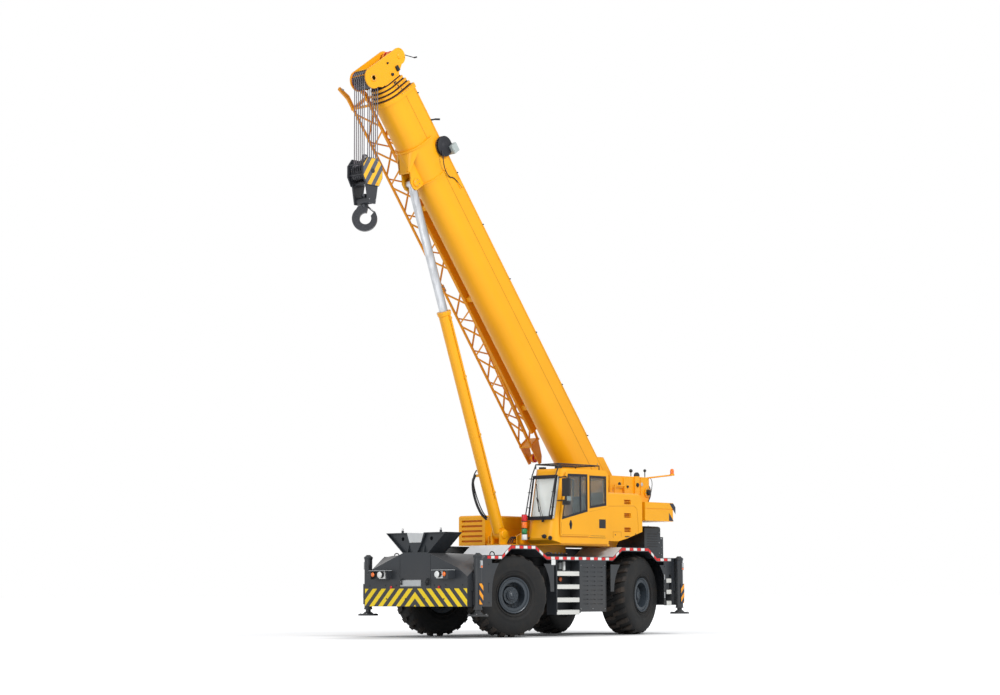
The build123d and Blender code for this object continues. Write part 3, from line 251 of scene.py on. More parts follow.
def node_material(name, base, roughness, inputs=None):
    """A Principled material and its node tree, ready for texture nodes."""
    material = bpy.data.materials.new(name)
    material.use_nodes = True
    shader = material.node_tree.nodes["Principled BSDF"]
    fill(material.node_tree, shader, {"Base Color": (*base, 1), "Roughness": roughness, **(inputs or {})})
    return material, material.node_tree, shader


def noise(tree, scale, detail=4.0, stretch=(1, 1, 1)):
    """Noise in object space, whose unit is the metre."""
    place = node(tree, "Mapping", {"Vector": node(tree, "TexCoord", {}, "Object"), "Scale": stretch}, "Vector")
    return node(tree, "TexNoise", {"Vector": place, "Scale": scale, "Detail": detail}, "Fac")


def ramp(tree, factor, low, high, start=0.35, end=0.65):
    """Two colours blended between two levels of a factor."""
    made = tree.nodes.new("ShaderNodeValToRGB")
    for stop, position, colour in zip(made.color_ramp.elements, (start, end), (low, high)):
        stop.position, stop.color = position, (*colour, 1)
    fill(tree, made, {"Fac": factor})
    return made.outputs["Color"]


def mottled(tree, texture, colour, spread):
    """A colour that drifts a little darker and lighter."""
    return ramp(tree, texture, [c * (1 - spread) for c in colour], [min(1, c * (1 + spread)) for c in colour])


def bump(tree, shader, height, strength, distance):
    normal = node(tree, "Bump", {"Strength": strength, "Distance": distance, "Height": height}, "Normal")
    fill(tree, shader, {"Normal": normal})


def axis_of(tree, space, axis):
    """One axis of the object-space place (Object) or of the surface's direction (Normal)."""
    return node(tree, "SeparateXYZ", {"Vector": node(tree, "TexCoord", {}, space)}, axis)


def product(tree, *values):
    result = values[0]
    for value in values[1:]:
        result = node(tree, "Math", {0: result, 1: value}, operation="MULTIPLY")
    return result


def where(*limits):
    """Mask that is 1 past every limit: (space, axis, limit, half the width of its blend)."""
    def mask(tree):
        return product(tree, *[node(tree, "MapRange",
            {"Value": axis_of(tree, space, axis), "From Min": limit - soft, "From Max": limit + soft}, "Result")
            for space, axis, limit, soft in limits])
    return mask


def overlay(material, mask, colour, spread=0.08):
    """Paints a second, softly mottled colour over a material where the mask is 1."""
    tree = material.node_tree
    shader = tree.nodes["Principled BSDF"]
    first = shader.inputs["Base Color"].links[0].from_socket
    second = mottled(tree, noise(tree, 1.6, 6.0), colour, spread)
    mix = node(tree, "Mix", {"Factor": mask(tree), "A": first, "B": second}, "Result", data_type="RGBA")
    fill(tree, shader, {"Base Color": mix})


def paint(name, base, roughness, coat=0.0, spread=0.06, dirt=0.0):
    """Sprayed paint: a slow drift of tone, fine orange peel, a clear coat and, low down, road dirt."""
    material, tree, shader = node_material(name, base, roughness,
        {"Coat Weight": coat, "Coat Roughness": 0.2, "Specular IOR Level": 0.3})
    fill(tree, shader, {"Base Color": mottled(tree, noise(tree, 0.9), base, spread)})
    bump(tree, shader, noise(tree, 60, 2.0), 0.04, 0.002)
    if dirt:
        def low_dust(tree):
            low = node(tree, "MapRange", {"Value": axis_of(tree, "Object", "Z"), "From Min": 2.0, "From Max": 0.4,
                "To Max": dirt}, "Result")
            return product(tree, low, noise(tree, 2.2, 7.0))
        overlay(material, low_dust, (0.11, 0.095, 0.08))
    return material


def metal(name, base, roughness, stretch=(1, 1, 1), scale=30):
    material, tree, shader = node_material(name, base, roughness, {"Metallic": 1.0})
    fleck = noise(tree, scale, 5.0, stretch)
    fill(tree, shader, {"Base Color": ramp(tree, fleck, [channel * 0.75 for channel in base], base)})
    bump(tree, shader, fleck, 0.08, 0.002)
    return material


def dusty_rubber(name, dust, base):
    """Black rubber with dry brown dust caught in patches."""
    material, tree, shader = node_material(name, base, 0.72, {"Specular IOR Level": 0.35})
    fill(tree, shader, {"Base Color": ramp(tree, noise(tree, 3.5, 8.0), base, dust, 0.42, 0.78)})
    bump(tree, shader, noise(tree, 90, 6.0), 0.2, 0.003)
    return material


def window_glass(name):
    """Dark tinted side panes, and a windscreen painted pale, a painted reflection, that lets less through."""
    material, tree, shader = node_material(name, (0.62, 0.68, 0.68), 0.03, {"IOR": 1.25})
    fill(tree, shader, {"Base Color": ramp(tree, noise(tree, 2.0), (0.5, 0.57, 0.58), (0.56, 0.63, 0.63))})
    # Painted reflection: panes facing forward get a pale colour and let less light through.
    windscreen = where(("Normal", "X", 0.6, 0.1), ("Object", "X", 0.4 + MID_X, 0.002))
    overlay(material, windscreen, (0.86, 0.9, 0.88), 0.06)
    clear = node(tree, "MapRange", {"Value": windscreen(tree), "To Min": 0.9, "To Max": 0.2}, "Result")
    fill(tree, shader, {"Transmission Weight": clear})
    return material


CRANE_COLOUR = (0.9, 0.4, 0.005)
CARRIER_COLOUR = (0.026, 0.031, 0.037)
NEAR_BLACK = (0.014, 0.015, 0.017)
YELLOW = paint("crane_yellow", CRANE_COLOUR, 0.4, 0.16, 0.03)
BOOM_YELLOW = paint("boom_yellow", CRANE_COLOUR, 0.42, 0.12, 0.03)
JIB_YELLOW = paint("jib_yellow", (0.86, 0.34, 0.005), 0.42, 0.1, 0.04)
# Darker copy of the crane yellow: painted shade, drawn as lines along folds, creases, seams and collar faces.
PAINTED_SHADE = paint("seam_painted_shade", (0.5, 0.2, 0.006), 0.5, 0.1, 0.05)
# Darker orange: painted shade in the vents and slots.
PAINTED_VENT_SHADE = paint("vent_painted_shade", (0.62, 0.16, 0.006), 0.55, 0.0, 0.08)
CARRIER = paint("carrier_grey", CARRIER_COLOUR, 0.42, 0.1, 0.12, 0.4)
CARRIER_DECK = paint("carrier_deck", (0.028, 0.033, 0.039), 0.42, 0.1, 0.12, 0.4)
HOUSING = paint("outrigger_housing", (0.026, 0.031, 0.038), 0.42, 0.12, 0.1, 0.35)
RIM_PAINT = paint("rim_slate", (0.036, 0.046, 0.057), 0.42, 0.2, 0.1)
STEP_WHITE = paint("step_white", (0.7, 0.7, 0.66), 0.6, 0.0, 0.07)
STEP_FRAME = paint("step_frame", (0.03, 0.034, 0.04), 0.5, 0.0, 0.1)
RED = paint("signal_red", (0.62, 0.01, 0.02), 0.35, 0.3, 0.05)
RED_TAPE = paint("red_tape", (0.66, 0.012, 0.012), 0.35, 0.2, 0.04)
WHITE_TAPE = paint("white_tape", (0.8, 0.8, 0.78), 0.35, 0.2, 0.03)
AMBER = paint("amber_plastic", (0.9, 0.17, 0.008), 0.22, 0.5, 0.05)
GREEN = paint("green_plastic", (0.005, 0.22, 0.06), 0.22, 0.5, 0.05)
LAMP = paint("lamp_white", (0.8, 0.81, 0.8), 0.18, 0.6, 0.03)
BLACK = paint("black_plastic", NEAR_BLACK, 0.45, 0.0, 0.2)
SEAL = paint("rubber_seal", (0.012, 0.013, 0.018), 0.55, 0.0, 0.15)
SEAT = paint("seat_cloth", (0.05, 0.055, 0.07), 0.85, 0.0, 0.25)
# Near black: painted shadow in the gaps between the boom's sections.
PAINTED_GAP_SHADOW = paint("collar_gap_painted_shadow", (0.012, 0.012, 0.016), 0.8, 0.0, 0.2)
STRIPE_YELLOW = paint("hazard_yellow", (0.95, 0.68, 0.01), 0.4, 0.2, 0.03)
BLOCK_YELLOW = paint("block_yellow", (0.84, 0.47, 0.03), 0.45, 0.15, 0.05)
STRIPE_ORANGE = paint("hazard_orange", (0.92, 0.36, 0.012), 0.4, 0.2, 0.03)
STRIPE_DARK = paint("hazard_navy", (0.012, 0.016, 0.035), 0.42, 0.2, 0.1)
STRIPE_SLATE = paint("block_slate", (0.085, 0.095, 0.12), 0.45, 0.15, 0.08)
BLOCK_GREY = paint("block_grey", (0.03, 0.032, 0.038), 0.42, 0.2, 0.12)
PALE_GREY = paint("pale_grey", (0.5, 0.52, 0.53), 0.5, 0.0, 0.05)
BOX_GREY = paint("box_grey", (0.42, 0.47, 0.46), 0.4, 0.1, 0.04)
STEEL_GREY = metal("dull_steel", (0.3, 0.31, 0.32), 0.45)
STEEL = metal("machined_steel", (0.36, 0.36, 0.37), 0.38)
SHEAVE = metal("sheave_steel", (0.12, 0.12, 0.13), 0.45)
CHROME = metal("polished_rod", (0.5, 0.51, 0.53), 0.28, (1, 1, 0.1), 12)
ROPE = metal("wire_rope", (0.17, 0.155, 0.17), 0.5, (1, 1, 6), 80)
IRON = metal("dark_forging", (0.06, 0.062, 0.068), 0.42)
RUBBER = dusty_rubber("tyre_rubber", (0.016, 0.014, 0.012), (0.006, 0.0065, 0.007))
LUG_RUBBER = dusty_rubber("tyre_lug_rubber", (0.055, 0.038, 0.027), (0.009, 0.0085, 0.0085))
GLASS = window_glass("cab_window_glass")
BARREL = paint("barrel_yellow", CRANE_COLOUR, 0.4, 0.16, 0.03)
WINCH_PAINT = paint("winch_yellow", CRANE_COLOUR, 0.4, 0.16, 0.03)
ENGINE = paint("engine_black", (0.02, 0.021, 0.023), 0.5, 0.0, 0.25)
REST = paint("boom_rest_grey", CARRIER_COLOUR, 0.42, 0.12, 0.12)

# Upward faces painted paler, a painted highlight of the light from above: the pale tread plate tops of the decks, the
# top slopes of the outrigger boxes and the top of the boom rest. Also the barrel's black hose and the winch frame's
# black lamp arms.
overlay(CARRIER_DECK, where(("Normal", "Z", 0.3, 0.05), ("Object", "Z", 1.83, 0.002)), (0.66, 0.67, 0.68))
# Painted highlight: the outrigger boxes' upward slopes lighter.
overlay(HOUSING, where(("Normal", "Z", 0.15, 0.05), ("Object", "Z", 1.3, 0.002)), (0.075, 0.075, 0.078))
# Painted highlight: the boom rest's upward faces lighter.
overlay(REST, where(("Normal", "Z", 0.9, 0.05)), (0.09, 0.09, 0.09))
overlay(BARREL, where(("Object", "Y", -0.1424, -0.0002)), (0.012, 0.013, 0.015))
overlay(WINCH_PAINT, where(("Object", "Z", 3.812, 0.002), ("Object", "X", -3.36 + MID_X, 0.002)), NEAR_BLACK)

NODE_MATERIALS = {"yellow_paint": YELLOW, "carrier_paint": CARRIER, "white_paint": STEP_FRAME, "engine_paint": ENGINE,
    "steel": STEEL, "polished_rod": CHROME, "wire_rope": ROPE, "black_iron": IRON, "glass": GLASS,
    "black_plastic": BLACK, "tyre_rubber": RUBBER}
OWN_MATERIALS = {"fender_decks": CARRIER_DECK, "outrigger_boxes": HOUSING, "boom_rest": REST,
    "hook_block": BLOCK_GREY, "cylinder_barrel": BARREL, "winch_frame": WINCH_PAINT, "head_sheaves": SHEAVE,
    "block_sheaves": SHEAVE, "boom_base": BOOM_YELLOW, "jib_lattice": JIB_YELLOW, "jib_extension": JIB_YELLOW}


def dress_nodes():
    """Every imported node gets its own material, or that of its slot in the record."""
    slots = {part["node"]: part["material_slot"] for part in frame["record"]["subparts"]}
    for name, packed in frame["nodes"].items():
        material = RIM_PAINT if name.startswith("rim_") else OWN_MATERIALS.get(name, NODE_MATERIALS[slots[name]])
        packed.data.materials.clear()
        packed.data.materials.append(material)


# ---- wheels ----
TREAD_LUGS = 22
LUG_RAISE = 0.05


def wheel_place(end, side):
    """Frame of one wheel at rest: axle along local Y, pointing outward."""
    sign = SIDES[side]
    turn = Matrix.Rotation(math.radians(STEER[end]), 4, "Z")
    pin = Vector((AXLES[end] + MID_X, sign * KINGPIN_Y, TYRE_RADIUS))
    out = Matrix.Rotation(0 if sign > 0 else math.pi, 4, "Z")
    return Matrix.Translation(pin) @ turn @ Matrix.Translation((0, sign * (WHEEL_Y - KINGPIN_Y), 0)) @ out


def add_tyre(end, side):
    """Off-road tyre: moulded side walls, and two rows of staggered lugs that run over the shoulder."""
    corner = f"{end}_{side}"
    piece = Piece(f"road_tyre_{corner}", f"wheel_{corner}", wheel_place(end, side))
    floor = TYRE_RADIUS - LUG_RAISE
    profile = [(-0.29, 0.4), (-0.315, 0.41), (-0.345, 0.44), (-0.358, 0.5), (-0.362, 0.54), (-0.369, 0.545),
        (-0.371, 0.56), (-0.366, 0.575), (-0.372, 0.63), (-0.373, 0.69), (-0.368, 0.74), (-0.358, 0.79),
        (-0.343, 0.835), (-0.32, 0.868), (-0.28, floor - 0.004), (-0.15, floor), (0, floor + 0.002)]
    profile = profile + [(-along, radius) for along, radius in profile[-2::-1]]
    piece.lathe(profile, ORIGIN, OUT, RUBBER, 96, ring=True)
    reach = [(0.0, TYRE_RADIUS - 0.001), (0.16, TYRE_RADIUS - 0.001), (0.275, TYRE_RADIUS - 0.012),
        (0.328, TYRE_RADIUS - 0.047), (0.352, TYRE_RADIUS - 0.105), (0.3625, TYRE_RADIUS - 0.165)]
    sink = [0.1, 0.1, 0.1, 0.09, 0.06, 0.03]
    for row in (-1, 1):
        for k in range(TREAD_LUGS):
            middle = 2 * math.pi * (k + (0.25 if row > 0 else -0.25)) / TREAD_LUGS
            rings = []
            for (along, radius), depth in zip(reach, sink):
                half = (0.048 + 0.026 * along / 0.36) / radius
                drift = row * 0.35 * (along - 0.1) / TYRE_RADIUS
                ring = []
                for angle, size in ((middle + drift - half, radius - depth), (middle + drift - half * 0.86, radius),
                        (middle + drift + half * 0.86, radius), (middle + drift + half, radius - depth)):
                    ring.append((size * math.cos(angle), row * (along - 0.02), size * math.sin(angle)))
                rings.append(ring)
            piece.loft(rings, LUG_RUBBER)
    for row in (-1, 1):
        piece.lathe([(row * 0.362, 0.455), (row * 0.3695, 0.462), (row * 0.3695, 0.474), (row * 0.362, 0.481)],
            ORIGIN, OUT, RUBBER, 72, ring=True)
    piece.done(replaces=[f"tyre_{corner}"])


def add_rim_parts(end, side):
    """Hub nuts, lock ring, planetary cover bolts and the valve of one wheel."""
    corner = f"{end}_{side}"
    piece = Piece(f"rim_fittings_{corner}", f"wheel_{corner}", wheel_place(end, side))
    piece.bolts(circle(turns(20), 0.252, (0, 0.1, 0), 1), OUT, 0.0135, RIM_PAINT, 0.03)
    piece.bolts(circle(turns(12, math.pi / 12), 0.155, (0, 0.21, 0), 1), OUT, 0.01, RIM_PAINT)
    piece.lathe([(0.25, 0.1), (0.262, 0.098), (0.268, 0.08), (0.268, 0.04), (0.275, 0.036), (0.275, 0)], ORIGIN, OUT,
        RIM_PAINT, 40)
    piece.lathe([(0.3275, 0.385), (0.345, 0.4), (0.352, 0.404), (0.352, 0.392), (0.335, 0.372), (0.3275, 0.36)],
        ORIGIN, OUT, RIM_PAINT, 64, ring=True)
    piece.lathe([(0.3, 0.322), (0.318, 0.326), (0.3285, 0.345), (0.3285, 0.356), (0.312, 0.342), (0.3, 0.33)], ORIGIN,
        OUT, RIM_PAINT, 64, ring=True)
    piece.rod((0.27, 0.1, 0.02), (0.295, 0.16, 0.02), 0.006, STEEL, 8)
    piece.done()


# ---- carrier ----
DECK_LINE = [(3.24, 1.82), (2.76, 1.82), (2.45, 2.055), (1.64, 2.055), (1.25, 1.82), (-1.09, 1.82), (-1.43, 2.055),
    (-2.42, 2.055), (-2.74, 1.82), (-3.29, 1.82)]
TAPE_LONG = 0.135
TAPE_TALL = 0.062
TAPE_DROP = 0.014
BUMPER_TALL = 0.4


def between(start, end, share):
    """Place at a share of the way from one place to another."""
    return tuple(s + (e - s) * share for s, e in zip(start, end))


def add_deck_tape():
    """Red and white reflective tape along both deck edges."""
    piece = Piece("deck_edge_tape", "carrier")
    for first, last in zip(DECK_LINE, DECK_LINE[1:]):
        count = max(2, round(math.dist(first, last) / TAPE_LONG))
        for k in range(count):
            a, b = [between(first, last, place / count) for place in (k + 0.04, k + 0.96)]
            material = (RED_TAPE, WHITE_TAPE)[k % 2]
            for sign in (-1, 1):
                y = (sign * (FENDER_Y + 0.0005), sign * (FENDER_Y + 0.003))
                piece.side([(a[0], a[1] - TAPE_DROP), (b[0], b[1] - TAPE_DROP), (b[0], b[1] - TAPE_DROP - TAPE_TALL),
                    (a[0], a[1] - TAPE_DROP - TAPE_TALL)], y, material)
    piece.done()


def add_bumper():
    """Hazard stripes, blank number plate, lamp lenses, weld ribs and bolts of the front box."""
    piece = Piece("bumper_stripes", "carrier")
    x = (BUMPER + 0.0008, BUMPER + 0.003)
    low, high = HOUSING_LOW + 0.005, HOUSING_LOW + BUMPER_TALL
    for outline in stripes(low, high, 0.0, 1.6, 0.142, -1.0):
        for sign in (1, -1):
            piece.cross([(sign * y, z) for y, z in outline], x, STRIPE_YELLOW)
    piece.box(x, (-1.6, 1.6), (low - 0.003, low), BLACK)
    piece.done()
    plate = Piece("front_plate_parts", "carrier")
    plate.box((BUMPER, BUMPER + 0.012), (-0.46, 0.2), (1.135, 1.285), STEEL_GREY)
    plate.box((BUMPER + 0.012, BUMPER + 0.016), (-0.44, 0.18), (1.15, 1.27), PALE_GREY)
    plate.bolts([(BUMPER, y, 1.16) for y in (-1.45, -0.95, -0.6, 0.35, 0.6, 0.95, 1.45)], AHEAD, 0.016, CARRIER)
    plate.bolts([(BUMPER, y, 0.86) for y in (-0.9, -0.3, 0.3, 0.9)], AHEAD, 0.02, CARRIER)
    for y in (-0.48, 0.48):
        plate.box((BUMPER, BUMPER + 0.006), (y - 0.004, y + 0.004), (1.11, 1.84), CARRIER)
    for sign in (-1, 1):
        front = BUMPER + LAMP_REACH
        plate.lathe([(0, 0.069), (0.014, 0.07), (0.02, 0.064), (0.026, 0.04), (0.028, 0)],
            (front - 0.012, sign * 0.9, 1.4), AHEAD, LAMP, 28)
        plate.lathe([(0, 0.049), (0.012, 0.05), (0.02, 0.044), (0.025, 0.02), (0.026, 0)],
            (front - 0.012, sign * 1.12, 1.405), AHEAD, AMBER, 24)
        plate.box((front - 0.225, front + 0.004), (sign * 0.735, sign * 1.245), (1.489, 1.499), PALE_GREY)
        plate.box((front - 0.1, front - 0.088), (sign * 0.8, sign * 1.0), (1.312, 1.486), LAMP)
        plate.rod((BUMPER, sign * 0.75, 1.12), (BUMPER + 0.02, sign * 0.75, 1.12), 0.03, RED, 16)
    plate.done(0.002)


def add_jack_parts():
    """Striped end plates, caps, small plates and hoses of the four outrigger boxes, and their feet's collars."""
    for end, x in JACKS.items():
        for side, sign in SIDES.items():
            piece = Piece(f"jack_fittings_{end}_{side}", f"beam_{end}_{side}")
            plate = (sign * 1.811, sign * 1.823)
            piece.side([(x - 0.062, 0.735), (x + 0.062, 0.735), (x + 0.062, 1.2), (x - 0.062, 1.2)], plate,
                STRIPE_DARK)
            for outline in stripes(0.74, 1.195, x - 0.06, x + 0.06, 0.095, 0.9 if end == "front" else -0.9, 0.02):
                piece.side(outline, (sign * 1.823, sign * 1.8245), STRIPE_ORANGE)
            piece.lathe([(0, 0.1), (0.05, 0.104), (0.06, 0.09), (0.09, 0.05), (0.1, 0.05), (0.1, 0)],
                (x, sign * JACK_Y, 1.76), UP, CARRIER, 28)
            piece.lathe([(0, 0.098), (0.03, 0.098)], (x, sign * JACK_Y, 0.62), UP, CARRIER, 28)
            piece.box((x - 0.035, x + 0.035), (sign * 1.81, sign * 1.835), (1.53, 1.7), STEEL_GREY)
            piece.box((x - 0.025, x + 0.025), (sign * 1.835, sign * 1.838), (1.6, 1.69), PALE_GREY)
            piece.box((x - 0.025, x + 0.025), (sign * 1.835, sign * 1.838), (1.54, 1.58), AMBER)
            piece.rod((x + 0.05, sign * 1.69, 1.8), (x + 0.05, sign * 1.64, 1.56), 0.012, BLACK, 10)
            piece.done(0.002)
            foot = Piece(f"jack_foot_{end}_{side}", f"jack_{end}_{side}")
            foot.lathe([(0.042, 0.2), (0.046, 0.2), (0.046, 0.19), (0.042, 0.19)], (x, sign * JACK_Y, 0.48), UP,
                CARRIER, 36)
            foot.bolts(circle((0.6, 2.0, 3.7, 5.2), 0.19, (x, sign * JACK_Y, 0.52), 2), UP, 0.014, STEEL)
            foot.done()


def add_side_parts():
    """Step treads with studs, the side panels' edges, bolts, plates and lamps, and short rails on the deck."""
    for side, sign in SIDES.items():
        piece = Piece(f"step_treads_{side}", "carrier")
        for top in (1.48, 1.18, 0.88, 0.6):
            piece.box((0.128, 0.915), (sign * 1.601, sign * 1.6035), (top - 0.104, top - 0.006), STEP_WHITE)
            piece.box((0.128, 0.915), (sign * 1.34, sign * 1.598), (top, top + 0.003), STEP_WHITE)
            for k in range(11):
                for row in range(3):
                    piece.lathe([(0, 0.017), (0.004, 0.013)],
                        (0.2 + k * 0.065, sign * (1.4 + row * 0.07), top + 0.003), UP, STEEL_GREY, 10)
        for top in (1.33, 1.06, 0.79):
            piece.box((-3.285, -3.102), (sign * 1.601, sign * 1.6035), (top - 0.104, top - 0.006), STEP_WHITE)
            piece.box((-3.285, -3.105), (sign * 1.525, sign * 1.598), (top, top + 0.003), STEP_WHITE)
        piece.done()
        body = Piece(f"side_panel_parts_{side}", "carrier")
        body.box((0.9, 0.92), (sign * 1.58, sign * 1.606), (0.55, 1.72), CARRIER)
        body.box((-0.832, 0.122), (sign * SKIRT_Y, sign * 1.606), (1.66, 1.72), CARRIER)
        body.box((-0.832, -0.818), (sign * SKIRT_Y, sign * 1.607), (0.552, 1.72), CARRIER)
        body.box((0.106, 0.12), (sign * SKIRT_Y, sign * 1.607), (0.552, 1.72), CARRIER)
        for z in (0.62, 1.62):
            body.bolts([(x, sign * SKIRT_Y, z) for x in (-0.78, -0.35, 0.07)], (0, sign, 0), 0.012, STEEL_GREY)
        for x in (3.18, -3.035):
            body.bolts([(x, sign * SKIRT_Y, z) for z in (0.78, 1.2, 1.62)], (0, sign, 0), 0.014, CARRIER)
        body.box((0.38, 0.55), (sign * 1.33, sign * 1.37), (1.53, 1.68), PALE_GREY)
        body.rod((0.46, sign * 1.42, 1.5), (0.46, sign * 1.42, 1.7), 0.035, LAMP, 16)
        body.lathe([(0, 0.05), (0.02, 0.05), (0.03, 0.03)], (0.5, sign * 1.335, 1.3), (0, sign, 0), AMBER, 20)
        body.box((0.96, 1.1), (sign * SKIRT_Y, sign * 1.606), (1.62, 1.74), LAMP)
        body.box((3.12, 3.2), (sign * SKIRT_Y, sign * 1.606), (1.0, 1.18), CARRIER)
        body.box((-3.04, -3.02), (sign * SKIRT_Y, sign * 1.608), (1.3, 1.42), PALE_GREY)
        body.box((-3.04, -3.02), (sign * SKIRT_Y, sign * 1.608), (0.86, 1.0), PALE_GREY)
        body.done(0.002)
        for first, last in ((0.96, 1.2), (2.9, 3.05)):
            tube(f"deck_rail_{side}_{int(first * 100)}", "carrier",
                [(first, sign * 1.5, 1.82), (first, sign * 1.5, 1.9), (last, sign * 1.5, 1.9),
                (last, sign * 1.5, 1.82)], 0.012, BLACK)


def add_rear_parts():
    """Grille, tail lamps, hinges, latches, side slots drawn as black strips of painted shade, and filler caps of the
    rear hood.
    """
    piece = Piece("rear_hood_parts", "carrier")
    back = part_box("rear_hood")[0][0] - MID_X
    for y in ((-0.6, -0.57), (0.57, 0.6)):
        piece.box((back - 0.014, back), y, (1.86, 2.26), BLACK)
    for z in ((1.83, 1.86), (2.26, 2.29)):
        piece.box((back - 0.014, back), (-0.6, 0.6), z, BLACK)
    for k in range(11):
        z = 1.878 + 0.035 * k
        piece.loft([[(back - 0.001, y, z + 0.018), (back - 0.012, y, z + 0.004), (back - 0.012, y, z),
            (back - 0.001, y, z + 0.012)] for y in (-0.57, 0.57)], CARRIER)
    for y in (-0.28, 0.0, 0.28):
        piece.box((back - 0.014, back - 0.012), (y - 0.006, y + 0.006), (1.86, 2.26), BLACK)
    for sign in (-1, 1):
        for z, colour in ((1.98, RED), (2.1, AMBER)):
            piece.lathe([(0, 0.05), (0.014, 0.05), (0.022, 0.042), (0.026, 0.02), (0.027, 0)], (back, sign * 0.7, z),
                (-1, 0, 0), colour, 26)
        piece.box((back - 0.006, back), (sign * 0.635, sign * 0.765), (1.9, 2.18), BLACK)
        for x in (back + 0.08, back + 0.28):
            piece.rod((x - 0.04, sign * 0.802, 2.31), (x + 0.04, sign * 0.802, 2.31), 0.011, STEEL, 10)
            piece.bolts([(x, sign * 0.8, z) for z in (1.92, 2.1)], (0, sign, 0), 0.012, STEEL)
        # Side slots: thin black strips of painted shade.
        for k in range(6):
            z = 2.1 + 0.06 * k
            piece.box((back + 0.47, back + 0.87), (sign * 1.0, sign * 1.004), (z, z + 0.022), BLACK)
        piece.bolts([(back + 0.42, sign * 1.0, z) for z in (1.95, 2.2, 2.45)], (0, sign, 0), 0.012, STEEL)
    piece.lathe([(0, 0.055), (0.01, 0.06), (0.026, 0.058), (0.032, 0.045), (0.032, 0)], (back + 0.18, -0.5, 2.35), UP,
        BLACK, 26)
    piece.lathe([(0, 0.055), (0.01, 0.06), (0.026, 0.058), (0.032, 0.045), (0.032, 0)], (back + 0.18, 0.5, 2.35), UP,
        STEEL, 26)
    piece.box((back + 0.03, back + 0.33), (-0.3, 0.3), (2.35, 2.353), CARRIER)
    for y in (-0.75, 0.75):
        piece.rod((back + 0.52, y, 2.6), (back + 0.52, y, 2.622), 0.012, STEEL, 8)
    piece.done(0.001)


ARCH_RADIUS = 0.98


def add_arches():
    """Plates beside the wheels, curved along the arch and straight at their outer end."""
    for side, sign in SIDES.items():
        piece = Piece(f"arch_plates_{side}", "carrier")
        for x in AXLES.values():
            inner = [(x + ARCH_RADIUS * math.cos(t), TYRE_RADIUS + 0.08 + ARCH_RADIUS * math.sin(t))
                for t in [math.radians(d) for d in range(0, 181, 10)]]
            for lip in (1, -1):
                edge = [(px, pz) for px, pz in inner if (px - x) * lip >= 0.66 and pz <= 1.72]
                if len(edge) > 2:
                    outer = [(x + lip * 1.1, pz) for px, pz in reversed(edge)]
                    piece.side(edge + outer, (sign * 1.585, sign * 1.599), CARRIER)
        piece.done()


def add_rest_parts():
    """Thin pale liner of the boom rest's notch, and the top plates and bolts beside it."""
    piece = Piece("rest_pad", "carrier")
    piece.cross([(-0.262, 2.334), (-0.178, 2.112), (0.178, 2.112), (0.262, 2.334), (0.26, 2.334), (0.176, 2.114),
        (-0.176, 2.114), (-0.26, 2.334)], (3.345, 3.885), PALE_GREY)
    for sign in (-1, 1):
        piece.cross([(sign * 0.27, 2.331), (sign * 0.93, 2.331), (sign * 0.93, 2.335), (sign * 0.27, 2.335)],
            (3.35, 3.87), CARRIER)
        piece.bolts([(3.68, sign * 0.6, 2.39)], UP, 0.022, STEEL, 0.05)
    piece.done()


# ---- cab and superstructure ----
CAB_OUT = 1.5
CAB_IN = 0.55
CAB_FLOOR = 2.1653
HOOD_OUT = 1.44
GLASS_PROUD = 0.004
GLASS_FRONT = [(0.8353, 2.69), (0.6458, 3.67)]


def frame_band(piece, points, y, wide, material):
    """A flat band, wide on the inside, round an outline in X and Z."""
    middle = (sum(p[0] for p in points) / len(points), sum(p[1] for p in points) / len(points))
    inner = []
    for px, pz in points:
        reach = math.dist((px, pz), middle)
        share = 1 - wide * 1.35 / reach
        inner.append((middle[0] + (px - middle[0]) * share, middle[1] + (pz - middle[1]) * share))
    for k in range(len(points)):
        n = (k + 1) % len(points)
        piece.side([points[k], points[n], inner[n], inner[k]], y, material)


def add_windows():
    """Black seals round the side windows and the windscreen, and the wiper."""
    piece = Piece("window_seals", "superstructure")
    frame_band(piece, [(-0.375, 2.945), (-0.985, 3.025), (-0.985, 3.715), (-0.375, 3.715)],
        (CAB_OUT, CAB_OUT + 0.003), 0.05, SEAL)
    frame_band(piece, [(0.395, 2.685), (-0.915, 2.685), (-0.915, 3.695), (0.395, 3.695)], (CAB_IN - 0.003, CAB_IN),
        0.05, SEAL)
    (x0, z0), (x1, z1) = GLASS_FRONT
    lean = Vector((x1 - x0, 0, z1 - z0)).normalized()
    out = Vector((lean.z, 0, -lean.x))

    def on_glass(y, up, proud):
        return Vector((x0, y, z0)) + lean * up + out * proud

    tall = math.dist((x0, z0), (x1, z1))
    border = 0.055
    for y0, y1, low, high in ((0.645, 1.405, -0.03, border), (0.645, 1.405, tall - border, tall + 0.03),
            (0.645, 0.645 + border, 0, tall), (1.405 - border, 1.405, 0, tall)):
        a = [on_glass(y0, low, GLASS_PROUD), on_glass(y1, low, GLASS_PROUD), on_glass(y1, high, GLASS_PROUD),
            on_glass(y0, high, GLASS_PROUD)]
        b = [p - out * 0.006 for p in a]
        piece.loft([a, b], SEAL)
    piece.done()
    wiper = Piece("wiper", "superstructure")
    root, tip = on_glass(1.12, -0.05, 0.03), on_glass(0.86, 0.5, 0.03)
    wiper.rod(root, tip, 0.009, SEAL, 8)
    wiper.rod(on_glass(1.17, -0.05, 0.03), on_glass(0.9, 0.5, 0.03), 0.006, SEAL, 8)
    wiper.rod(on_glass(0.98, 0.16, 0.018), on_glass(0.8, 0.82, 0.018), 0.011, SEAL, 8)
    wiper.lathe([(0, 0.03), (0.03, 0.026), (0.04, 0.015)], on_glass(1.13, -0.06, 0), out, SEAL, 16)
    wiper.done()


